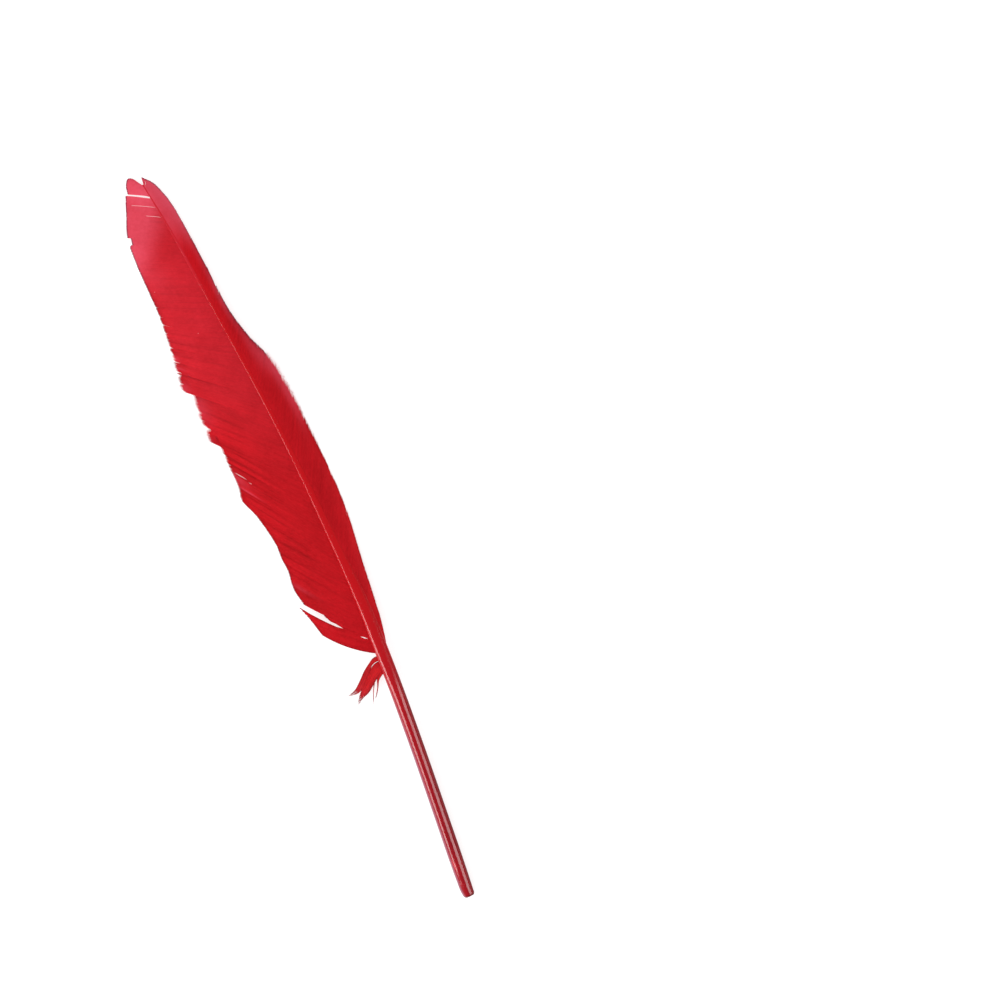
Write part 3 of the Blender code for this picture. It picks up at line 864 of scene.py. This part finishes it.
def ribbon_strands(rng, ribbon):
    """Blades laid side by side along one ribbon: rings, tone and how faded each point is."""
    line = np.array(ribbon["line"])
    stations = lengths_of(line[None])[0]
    stations /= stations[-1]
    count = ribbon["strands"]
    aside = np.linspace(-1, 1, count) + rng.uniform(-0.5, 0.5, count) / count
    reach = 1 - (1 - ribbon["shortest"]) * rng.random(count) ** 1.5
    t = np.linspace(0, 1, DOWN_POINTS)[None] * reach[:, None]
    middle = np.stack([eased(stations, column, t) for column in line.T], -1)
    width = eased(stations, np.array(ribbon["width"]), t)
    square = towards_tip(middle[..., :2], -1)
    wander = rng.normal(0, 1, count) * ribbon["stray"]
    stray = wander[:, None] * np.clip(t - DOWN_FORK, 0, None) ** 2 / (1 - DOWN_FORK) ** 2
    shift = aside[:, None] * width / 2 + stray
    plan = middle[..., :2] + square * shift[..., None]
    crown = DOWN_CROWN * width * (1 - aside[:, None] ** 2)
    lift = 0.12 * rng.uniform(-1, 1, count)[:, None] * t
    heights = np.maximum(middle[..., 2] + crown + lift, LOWEST)
    taper = np.clip((reach[:, None] - t) / (0.35 * reach[:, None]), 0.12, 1) ** 0.8
    half = (1.5 * width / count + 0.03) * taper
    rings = outward_facing(blade_rings(plan, heights, towards_tip(plan, -1), half, DOWN_DEPTH * taper))
    tone = 0.65 + 0.25 * rng.uniform(-1, 1, (count, 1)) - 0.3 * np.abs(aside[:, None]) ** 5
    tone = tone - 0.6 * rise_over(0.72, 1.0, t / reach[:, None])
    faded = 0.12 * rise_over(0.5, 0.9, t / reach[:, None])
    strand = np.broadcast_to(np.arange(count)[:, None], t.shape)
    places = np.stack([t, t * 20, strand], -1)
    return rings, places, tone, faded


def build_down():
    rng = np.random.default_rng(21)
    parts = [ribbon_strands(rng, ribbon) for ribbon in DOWN_RIBBONS]
    rings, places, tone, faded = (np.concatenate(column) for column in zip(*parts))
    return mesh_of_strands(
        "down_tuft", rings, 50,
        barb=places[:, :, None], tone=tone[..., None], faded=faded[..., None],
    )


down_tuft = build_down()

# %% [markdown]
# ## Loose hairs
# The margin of the leading vane ends in a soft fringe, and the worn locks of the trailing vane
# have lost barbules that stand out like lint. They are thin three-sided hairs that start on real
# barbs, near the ends, and leave them at a small angle.

# %% Grow hairs from the ends of barbs
HAIR_POINTS = 6
HAIR_HALF_WIDTH = 0.016  # mm


def hairs_from(rng, barbs, root_range, count, length, spread):
    """Hairs that start near the ends of barbs rooted in a range: their middle lines."""
    roots, plan, heights, tipward = (barbs[k] for k in ("roots", "plan", "heights", "tipward"))
    rows = np.flatnonzero((roots > root_range[0]) & (roots < root_range[1]))
    row = rng.choice(rows, count)
    ring = plan.shape[1] - 1 - rng.integers(0, 4, count)
    start = np.concatenate([plan[row, ring], heights[row, ring, None]], -1)
    onward = plan[row, ring] - plan[row, ring - 1]
    onward /= np.linalg.norm(onward, axis=-1, keepdims=True)
    lean = rng.normal(0, spread, count)
    run = rng.uniform(0.4, 1.0, count) * length
    curl = rng.normal(0, 0.35, count)
    t = np.linspace(0, 1, HAIR_POINTS)[None]
    aside = run[:, None] * (lean[:, None] * t + curl[:, None] * t * t)
    lines = start[:, None] + np.zeros((count, HAIR_POINTS, 3))
    lines[..., :2] += (run[:, None] * t)[..., None] * onward[:, None]
    lines[..., :2] += aside[..., None] * tipward[row, ring][:, None]
    lines[..., 2] += t * rng.uniform(-0.1, 0.25, count)[:, None] * run[:, None]
    lines[..., 2] = np.maximum(lines[..., 2], LOWEST)
    return lines


def hair_rings(lines, half):
    """Three-sided rings along flat-lying lines."""
    square = towards_tip(lines[..., :2], 1.0)
    taper = np.linspace(1, 0.3, lines.shape[1])[None, :, None]
    side = np.concatenate([square * half * taper, np.zeros(square.shape[:2] + (1,))], -1)
    up = np.zeros_like(side)
    up[..., 2] = 1.6 * half * taper[..., 0]
    return np.stack([lines - side, lines + side, lines + up], 2)


def build_hairs():
    rng = np.random.default_rng(31)
    lines = np.concatenate([
        hairs_from(rng, leading_barbs, (160, 205), 520, 1.3, 0.35),
        hairs_from(rng, leading_barbs, (96, 160), 160, 0.8, 0.3),
        hairs_from(rng, trailing_barbs, (164, 212), 260, 1.3, 0.4),
        hairs_from(rng, trailing_barbs, (98, 164), 120, 1.0, 0.3),
        hairs_from(rng, trailing_barbs, (212, 291), 110, 0.6, 0.3),
    ])
    rings = outward_facing(hair_rings(lines, HAIR_HALF_WIDTH))
    share = np.linspace(0, 1, HAIR_POINTS)[None, :, None]
    return mesh_of_strands("loose_hairs", rings, None, tone=0.5 + 0 * share, faded=0.35 + 0.4 * share)


loose_hairs = build_hairs()

# %% [markdown]
# ## The dye
# One bath of dye took differently on every surface: it pooled in clouds, sank deep into the horn,
# and left the thin tip of the web rose. So colour is one node group with named inputs, placed in
# each material with that surface's own three colours. It mixes deep, full and faded dye by two
# values that were kept at every point, and roughens both with soft clouds and fine mottling.

# %% Build node groups


def new_group(name, inputs, outputs):
    """A shader node group with named sockets: ((name, type, default), ...) and ((name, type), ...)."""
    group = bpy.data.node_groups.new(name, "ShaderNodeTree")
    for socket_name, kind, default in inputs:
        socket = group.interface.new_socket(socket_name, in_out="INPUT", socket_type=kind)
        if default is not None:
            socket.default_value = default
    for socket_name, kind in outputs:
        group.interface.new_socket(socket_name, in_out="OUTPUT", socket_type=kind)
    return group, group.nodes.new("NodeGroupInput"), group.nodes.new("NodeGroupOutput")


def add_node(tree, kind, sockets=None, **settings):
    """A node with its settings, and values or links for its input sockets."""
    node = tree.nodes.new(kind)
    for setting, value in settings.items():
        setattr(node, setting, value)
    for key, value in (sockets or {}).items():
        if isinstance(value, bpy.types.NodeSocket):
            tree.links.new(value, node.inputs[key])
        else:
            node.inputs[key].default_value = value
    return node


def math_of(tree, operation, first, second=0.0, clamp=False):
    """The result of one Math node."""
    node = add_node(tree, "ShaderNodeMath", {0: first, 1: second}, operation=operation)
    node.use_clamp = clamp
    return node.outputs[0]


def stretch_range(tree, value, from_low, from_high, to_low=0.0, to_high=1.0):
    """The result of one Map Range node, with soft ends."""
    sockets = {0: value, 1: from_low, 2: from_high, 3: to_low, 4: to_high}
    return add_node(tree, "ShaderNodeMapRange", sockets, interpolation_type="SMOOTHSTEP").outputs[0]


def mix_colours(tree, factor, first, second):
    """The result of one Mix node for colours."""
    sockets = {0: factor, 6: first, 7: second}
    return add_node(tree, "ShaderNodeMix", sockets, data_type="RGBA").outputs[2]


def swing(tree, value, amount):
    """A value from 0 to 1 as a deviation either way, at most half the amount."""
    return math_of(tree, "MULTIPLY", math_of(tree, "SUBTRACT", value, 0.5), amount)


def both_of(tree, first, second):
    """The product of two masks: only where both are."""
    return math_of(tree, "MULTIPLY", first, second)


def noise_at(tree, place, scale, detail=2.0, roughness=0.5):
    """The value of a Noise Texture, from 0 to 1."""
    sockets = {"Vector": place, "Scale": scale, "Detail": detail, "Roughness": roughness}
    return add_node(tree, "ShaderNodeTexNoise", sockets).outputs[0]


def build_dye_group():
    tree, given, result = new_group(
        "uneven dye",
        (
            ("Place", "NodeSocketVector", None), ("Tone", "NodeSocketFloat", 0.5),
            ("Faded", "NodeSocketFloat", 0.0), ("Clouds", "NodeSocketFloat", 0.3),
            ("Mottling", "NodeSocketFloat", 0.2), ("Deep", "NodeSocketColor", None),
            ("Full", "NodeSocketColor", None), ("Rose", "NodeSocketColor", None),
        ),
        (("Color", "NodeSocketColor"),),
    )
    put = given.outputs
    clouds = swing(tree, noise_at(tree, put["Place"], 0.11, 3.0), put["Clouds"])
    mottles = swing(tree, noise_at(tree, put["Place"], 0.9, 2.0, 0.6), put["Mottling"])
    uneven = math_of(tree, "ADD", clouds, mottles)
    tone = math_of(tree, "ADD", put["Tone"], uneven, clamp=True)
    doubled = math_of(tree, "MULTIPLY", uneven, 1.6)
    thinner = math_of(tree, "MULTIPLY", put["Faded"], math_of(tree, "ADD", doubled, 1.0))
    faded = math_of(tree, "ADD", thinner, 0.0, clamp=True)
    red = mix_colours(tree, tone, put["Deep"], put["Full"])
    tree.links.new(mix_colours(tree, faded, red, put["Rose"]), result.inputs["Color"])
    return tree


dye = build_dye_group()
print("dye group nodes:", len(dye.nodes))

# %% [markdown]
# ## Fibres and flecks
# Horn, barbs and down all have lines that run along them, finer than is worth modelling. Noise
# that is stretched along one direction gives such lines: the second group takes a place whose
# second number runs along the fibre. The third group scatters tiny flecks: lint and dust on the
# web, and bubbles and nicks in the horn. Both give out plain masks, which feed colour, roughness
# and the height of a bump.

# %% Build the fibre and fleck groups


def build_fibre_group():
    tree, given, result = new_group(
        "lines along a fibre",
        (
            ("Place", "NodeSocketVector", None), ("Lines per mm", "NodeSocketFloat", 4.0),
            ("Stretch", "NodeSocketFloat", 20.0),
        ),
        (("Height", "NodeSocketFloat"),),
    )
    parts = add_node(tree, "ShaderNodeSeparateXYZ", {0: given.outputs["Place"]}).outputs
    slow = math_of(tree, "DIVIDE", parts[1], given.outputs["Stretch"])
    place = add_node(tree, "ShaderNodeCombineXYZ", {0: parts[0], 1: slow, 2: parts[2]}).outputs[0]
    lines = noise_at(tree, place, given.outputs["Lines per mm"], 3.0, 0.6)
    tree.links.new(stretch_range(tree, lines, 0.3, 0.7), result.inputs["Height"])
    return tree


def build_fleck_group():
    tree, given, result = new_group(
        "scattered flecks",
        (
            ("Place", "NodeSocketVector", None), ("Flecks per mm", "NodeSocketFloat", 0.5),
            ("Size", "NodeSocketFloat", 0.1), ("Share", "NodeSocketFloat", 0.3),
        ),
        (("Mask", "NodeSocketFloat"),),
    )
    put = given.outputs
    cells = add_node(
        tree, "ShaderNodeTexVoronoi", {"Vector": put["Place"], "Scale": put["Flecks per mm"]}
    )
    near = math_of(tree, "LESS_THAN", cells.outputs["Distance"], put["Size"])
    chance = add_node(tree, "ShaderNodeSeparateColor", {0: cells.outputs["Color"]}).outputs[0]
    chosen = math_of(tree, "LESS_THAN", chance, put["Share"])
    tree.links.new(math_of(tree, "MULTIPLY", near, chosen), result.inputs["Mask"])
    return tree


fibres, flecks = build_fibre_group(), build_fleck_group()
print("fibre group nodes:", len(fibres.nodes), "fleck group nodes:", len(flecks.nodes))

# %% Helpers that place groups in a material


def new_material(name, **constants):
    """A material whose shader sockets that never vary are set directly."""
    material = bpy.data.materials.new(name)
    material.use_nodes = True
    shader = material.node_tree.nodes["Principled BSDF"]
    for socket, value in constants.items():
        shader.inputs[socket.replace("_", " ")].default_value = value
    return material, material.node_tree, shader


def place_group(tree, group, sockets):
    """The outputs of a node group placed in a material with its own values."""
    return add_node(tree, "ShaderNodeGroup", sockets, node_tree=group).outputs


def kept_value(tree, name, vector=False):
    """A value that was kept at every point of the mesh."""
    node = add_node(tree, "ShaderNodeAttribute", attribute_name=name)
    return node.outputs["Vector" if vector else "Fac"]


def place_in_mm(tree):
    """The place on the object, in millimetres."""
    at = add_node(tree, "ShaderNodeTexCoord").outputs["Object"]
    scaled = add_node(tree, "ShaderNodeVectorMath", {0: at, "Scale": 1 / MM}, operation="SCALE")
    return scaled.outputs[0]


def bump_from(tree, height, distance_mm, strength):
    """The normal of a Bump node."""
    sockets = {"Height": height, "Distance": distance_mm * MM, "Strength": strength}
    return add_node(tree, "ShaderNodeBump", sockets).outputs[0]


# %% [markdown]
# ## The web's finish
# A dyed vane is matt with a faint satin. Its barbs are dyed unevenly, its locks differ, and it
# fades to rose where the web is thin: at the tip and along worn ends. Crisp margins and the sides
# of splits are darkened to a thin purple line, which comes in wherever the kept tone falls below 0.
# Lines finer than a barb run out along every blade, as barbules do, and a few specks of lint lie on it.

# %% Finish the vanes
RIM_PURPLE = (0.13, 0.008, 0.035, 1)
RIM_FROM, RIM_FULL, RIM_SHARE = -0.02, -0.5, 0.85    # the kept tone where purple sets in and is full
LINT_PINK = (0.7, 0.35, 0.38, 1)


def place_along_barb(tree):
    """Root in the first number and distance along the barb in the second, both in mm."""
    parts = add_node(tree, "ShaderNodeSeparateXYZ", {0: kept_value(tree, "barb", True)}).outputs
    return add_node(tree, "ShaderNodeCombineXYZ", {0: parts[2], 1: parts[1]}).outputs[0]


def make_vane_finish():
    material, tree, shader = new_material(
        "dyed vane", Specular_IOR_Level=0.04, Sheen_Weight=0.01, Sheen_Roughness=0.5
    )
    place = place_in_mm(tree)
    barbules = place_group(tree, fibres, {
        "Place": place_along_barb(tree), "Lines per mm": 5.0, "Stretch": 9.0,
    })["Height"]
    streaks = place_group(tree, fibres, {
        "Place": place_along_barb(tree), "Lines per mm": 0.8, "Stretch": 14.0,
    })["Height"]
    offset = math_of(tree, "ADD", swing(tree, barbules, 0.2), swing(tree, streaks, 0.2))
    colour = place_group(tree, dye, {
        "Place": place, "Tone": math_of(tree, "ADD", kept_value(tree, "tone"), offset),
        "Faded": kept_value(tree, "faded"), "Clouds": 0.5, "Mottling": 0.3,
        "Deep": (0.27, 0.0008, 0.003, 1), "Full": (0.56, 0.005, 0.011, 1),
        "Rose": (0.68, 0.07, 0.112, 1),
    })["Color"]
    rim = stretch_range(tree, kept_value(tree, "tone"), RIM_FROM, RIM_FULL, 0.0, RIM_SHARE)
    colour = mix_colours(tree, rim, colour, RIM_PURPLE)
    lint = place_group(tree, flecks, {
        "Place": place, "Flecks per mm": 0.22, "Size": 0.04, "Share": 0.12,
    })["Mask"]
    colour = mix_colours(tree, math_of(tree, "MULTIPLY", lint, 0.4), colour, LINT_PINK)
    tree.links.new(colour, shader.inputs["Base Color"])
    tree.links.new(stretch_range(tree, barbules, 0, 1, 0.74, 0.6), shader.inputs["Roughness"])
    tree.links.new(bump_from(tree, barbules, 0.03, 0.5), shader.inputs["Normal"])
    return material


vane_finish = make_vane_finish()

# %% [markdown]
# ## The horn's finish
# The quill is polished horn: dark dye seen through a clear glossy skin, which a coat layer over a
# darker base gives. It has long streaks, tiny bubbles and nicks, and a scraped spot near its end.
# Low down, its left flank is purplish grey, partly where the thin wall shows and partly as a
# painted reflection of the pale floor, and its right flank is painted darker, as shade on the side
# away from the light. Above the vanes' start the rachis is a clearer red with less gloss.

# %% Finish the shaft
SCRAPED_SPOT = (0.0, 12.6, 5.0)     # mm on the feather
SCRAPE_STRETCH = (1.0, 0.3, 1.0)    # it is longer along the quill
QUILL_DEEP, QUILL_FULL = (0.20, 0.0012, 0.006, 1), (0.40, 0.003, 0.010, 1)
RACHIS_RED = (0.46, 0.0015, 0.005, 1)
TIP_RED = (0.50, 0.012, 0.024, 1)
LEFT_FLANK_GREY_AND_PAINTED_REFLECTION = (0.30, 0.07, 0.12, 1)
RIGHT_FLANK_PAINTED_SHADE = (0.15, 0.0005, 0.003, 1)
SCRAPED_RED = (0.52, 0.03, 0.045, 1)
NICK_PINK = (0.6, 0.22, 0.25, 1)
END_DARK = (0.09, 0.003, 0.006, 1)


def make_horn_finish():
    material, tree, shader = new_material(
        "dyed quill", Coat_Roughness=0.11, Coat_IOR=1.5, Specular_IOR_Level=0.06
    )
    place, along = place_in_mm(tree), kept_value(tree, "along_mm")
    streaks = place_group(tree, fibres, {"Place": place, "Lines per mm": 2.6, "Stretch": 30.0})["Height"]
    tone = math_of(tree, "ADD", math_of(tree, "MULTIPLY", streaks, 0.45), 0.25)
    horn = place_group(tree, dye, {
        "Place": place, "Tone": tone, "Faded": 0.0, "Clouds": 0.5, "Mottling": 0.3,
        "Deep": QUILL_DEEP, "Full": QUILL_FULL, "Rose": QUILL_FULL,
    })["Color"]
    colour = mix_colours(tree, stretch_range(tree, along, 40, 125), horn, RACHIS_RED)
    flank = kept_value(tree, "flank")
    # Low down, the left flank turns purplish grey: partly the thin wall's own colour, partly a painted
    # reflection of the pale floor.
    low_down = stretch_range(tree, along, 50, 98, 0.8, 0.0)
    left = both_of(tree, stretch_range(tree, flank, -0.55, -0.85), low_down)
    colour = mix_colours(tree, left, colour, LEFT_FLANK_GREY_AND_PAINTED_REFLECTION)
    # Low down, the right flank is painted darker, as shade on the side away from the light.
    low_down = stretch_range(tree, along, 80, 100, 0.7, 0.0)
    right = both_of(tree, stretch_range(tree, flank, 0.55, 0.95), low_down)
    colour = mix_colours(tree, right, colour, RIGHT_FLANK_PAINTED_SHADE)
    colour = mix_colours(tree, stretch_range(tree, along, 240, 268, 0.0, 0.85), colour, TIP_RED)

    # A scraped spot, brighter and rough
    spot = [float(v) for v in to_frame(SCRAPED_SPOT) / MM]
    away = add_node(tree, "ShaderNodeVectorMath", {0: place, 1: spot}, operation="SUBTRACT").outputs[0]
    away = add_node(tree, "ShaderNodeVectorMath", {0: away, 1: SCRAPE_STRETCH}, operation="MULTIPLY")
    away = add_node(tree, "ShaderNodeVectorMath", {0: away.outputs[0]}, operation="LENGTH")
    ragged = math_of(tree, "MULTIPLY", noise_at(tree, place, 1.8, 3.0), 1.8)
    far = math_of(tree, "ADD", away.outputs["Value"], ragged)
    scraped = stretch_range(tree, far, 1.75, 1.35, 0.0, 0.8)
    colour = mix_colours(tree, scraped, colour, SCRAPED_RED)

    nicks = place_group(tree, flecks, {
        "Place": place, "Flecks per mm": 1.7, "Size": 0.16, "Share": 0.16,
    })["Mask"]
    colour = mix_colours(tree, math_of(tree, "MULTIPLY", nicks, 0.3), colour, NICK_PINK)
    end_rim = stretch_range(tree, along, 0.2, -0.85, 0.0, 0.7)
    colour = mix_colours(tree, end_rim, colour, END_DARK)
    tree.links.new(colour, shader.inputs["Base Color"])

    uneven = noise_at(tree, place, 6.0, 2.0)
    gloss = math_of(tree, "MULTIPLY_ADD", streaks, -0.12)
    gloss.node.inputs[2].default_value = 0.5
    tree.links.new(math_of(tree, "ADD", gloss, math_of(tree, "MULTIPLY", scraped, 0.4)),
                   shader.inputs["Roughness"])
    # Its leading flank is dull: all of it low down, and from the crown where barbs grow on it
    dull = both_of(tree, stretch_range(tree, along, 74, 94), stretch_range(tree, flank, 0.0, 0.3))
    dull = math_of(tree, "MAXIMUM", dull, stretch_range(tree, flank, 0.7, 0.9))
    coat = stretch_range(tree, dull, 0.0, 1.0, 0.75, 0.06)
    coat = both_of(tree, coat, stretch_range(tree, along, 95, 130, 1.0, 0.45))
    coat = both_of(tree, coat, stretch_range(tree, along, 235, 262, 1.0, 0.15))
    tree.links.new(coat, shader.inputs["Coat Weight"])
    height = math_of(tree, "ADD", math_of(tree, "MULTIPLY", streaks, 0.6), uneven)
    height = math_of(tree, "SUBTRACT", height, math_of(tree, "MULTIPLY", nicks, 1.2))
    normal = bump_from(tree, height, 0.02, 0.12)
    tree.links.new(normal, shader.inputs["Normal"])
    tree.links.new(normal, shader.inputs["Coat Normal"])
    return material


horn_finish = make_horn_finish()

# %% [markdown]
# ## The down's finish
# Down takes more dye than the web and has hardly any gloss. The dye and fibre groups give it too,
# with values of its own.

# %% Finish the down


def make_down_finish():
    material, tree, shader = new_material(
        "dyed down", Specular_IOR_Level=0.12, Sheen_Weight=0.02, Sheen_Roughness=0.5
    )
    place = place_in_mm(tree)
    lines = place_group(tree, fibres, {
        "Place": place_along_barb(tree), "Lines per mm": 3.0, "Stretch": 5.0,
    })["Height"]
    offset = swing(tree, lines, 0.35)
    colour = place_group(tree, dye, {
        "Place": place, "Tone": math_of(tree, "ADD", kept_value(tree, "tone"), offset),
        "Faded": kept_value(tree, "faded"), "Clouds": 0.4, "Mottling": 0.3,
        "Deep": (0.22, 0.001, 0.006, 1), "Full": (0.62, 0.004, 0.007, 1),
        "Rose": (0.60, 0.07, 0.10, 1),
    })["Color"]
    tree.links.new(colour, shader.inputs["Base Color"])
    tree.links.new(stretch_range(tree, lines, 0, 1, 0.8, 0.62), shader.inputs["Roughness"])
    tree.links.new(bump_from(tree, lines, 0.03, 0.5), shader.inputs["Normal"])
    return material


down_finish = make_down_finish()

# %% Give every piece its finish and its place in the frame
for piece, finish, slot in (
    (shaft, horn_finish, "dyed_quill"),
    (trailing_vane, vane_finish, "dyed_vane"),
    (leading_vane, vane_finish, "dyed_vane"),
    (loose_hairs, vane_finish, "dyed_vane"),
    (down_tuft, down_finish, "dyed_down"),
):
    piece.data.materials.append(finish)
    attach(piece, "root")
    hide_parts("feather")
    print(piece.name, "takes", finish.name)

# %% [markdown]
# ## Table, light and camera
# The photographed feather lies on white paper under soft light from its left, seen from straight
# above, with its quill leaning down to the right. The paper glows a little, as on a light table,
# so that splits and shadows stay pale. A wide panel on the left shades the leading vane, which
# slopes away from it. Two long panels, halfway down the sky on either side, are seen only by gloss:
# they give the two lines of light on the quill. For gloss the sky is dark otherwise, but for the
# low left, so the quill's crown and its leading side keep their depth.

# %% Lay the table
TABLE_REACH = 6.0
PAPER, PAPER_GLOW = (0.45, 0.45, 0.45, 1), 0.70


def lay_table():
    mesh = bpy.data.meshes.new("table")
    corners = [(x * TABLE_REACH, y * TABLE_REACH, 0) for x, y in ((-1, -1), (1, -1), (1, 1), (-1, 1))]
    mesh.from_pydata(corners, [], [(0, 1, 2, 3)])
    table = bpy.data.objects.new("table", mesh)
    bpy.context.scene.collection.objects.link(table)
    material, tree, shader = new_material("white paper", Specular_IOR_Level=0.0, Roughness=1.0)
    shader.inputs["Base Color"].default_value = PAPER
    shader.inputs["Emission Color"].default_value = (1, 1, 1, 1)
    shader.inputs["Emission Strength"].default_value = PAPER_GLOW
    mesh.materials.append(material)


lay_table()

# %% Light it
PANELS = (
    {"name": "left panel", "place": (-0.95, 0.0, 0.60), "size": (1.5, 0.62), "power": 9.0, "gloss": False},
    {"name": "left glint", "place": (-0.86, 0.53, 0.70), "size": (1.6, 0.50), "power": 22.0, "gloss": True},
    {"name": "right glint", "place": (0.74, -0.70, 0.82), "size": (1.1, 0.80), "power": 17.0, "gloss": True},
)
SKY = 0.9
GLOSS_SKY, GLOSS_SKY_LEFT = 0.03, 0.6


def add_panel(name, place, size, power, gloss):
    """A rectangle of light: its length along the feather, and its height.

    One kind gives only gloss, and the other gives only the rest.
    """
    light = bpy.data.lights.new(name, "AREA")
    light.shape = "RECTANGLE"
    light.size, light.size_y = size
    light.energy = power
    panel = bpy.data.objects.new(name, light)
    panel.location = place
    panel.rotation_euler = Vector((place[0], 0, place[2])).to_track_quat("Z", "Y").to_euler()
    panel.visible_camera = False
    panel.visible_glossy = gloss
    panel.visible_diffuse = not gloss
    bpy.context.scene.collection.objects.link(panel)


def set_sky():
    world = bpy.data.worlds.new("studio")
    bpy.context.scene.world = world
    world.use_nodes = True
    tree = world.node_tree
    direction = add_node(tree, "ShaderNodeTexCoord").outputs["Generated"]
    parts = add_node(tree, "ShaderNodeSeparateXYZ", {0: direction}).outputs
    leftward = stretch_range(tree, parts[0], -0.2, -0.7)
    low_left = both_of(tree, leftward, stretch_range(tree, parts[2], 0.45, 0.15))
    for_gloss = stretch_range(tree, low_left, 0.0, 1.0, GLOSS_SKY, GLOSS_SKY_LEFT)
    is_gloss = add_node(tree, "ShaderNodeLightPath").outputs["Is Glossy Ray"]
    strength = add_node(tree, "ShaderNodeMix", {0: is_gloss, 2: SKY, 3: for_gloss}).outputs[0]
    background = tree.nodes["Background"]
    background.inputs["Color"].default_value = (1, 1, 1, 1)
    tree.links.new(strength, background.inputs["Strength"])


for panel in PANELS:
    add_panel(**panel)
set_sky()
bpy.context.scene.view_settings.view_transform = "Standard"

# %% Point the camera
CAMERA_HEIGHT = 1.0
VIEW_WIDTH = 0.3818
VIEW_MIDDLE = (73.7, 131.3, 0.0)    # mm on the feather
VIEW_TURN = math.radians(-24.67)
SENSOR = 36.0


def set_camera():
    camera = bpy.data.cameras.new("camera")
    camera.sensor_width = SENSOR
    camera.lens = SENSOR * CAMERA_HEIGHT / VIEW_WIDTH
    obj = bpy.data.objects.new("camera", camera)
    middle = to_frame(VIEW_MIDDLE)
    obj.location = (middle[0], middle[1], CAMERA_HEIGHT)
    obj.rotation_euler = (0, 0, VIEW_TURN)
    bpy.context.scene.collection.objects.link(obj)
    bpy.context.scene.camera = obj
    print("lens, mm:", round(camera.lens, 1))


set_camera()
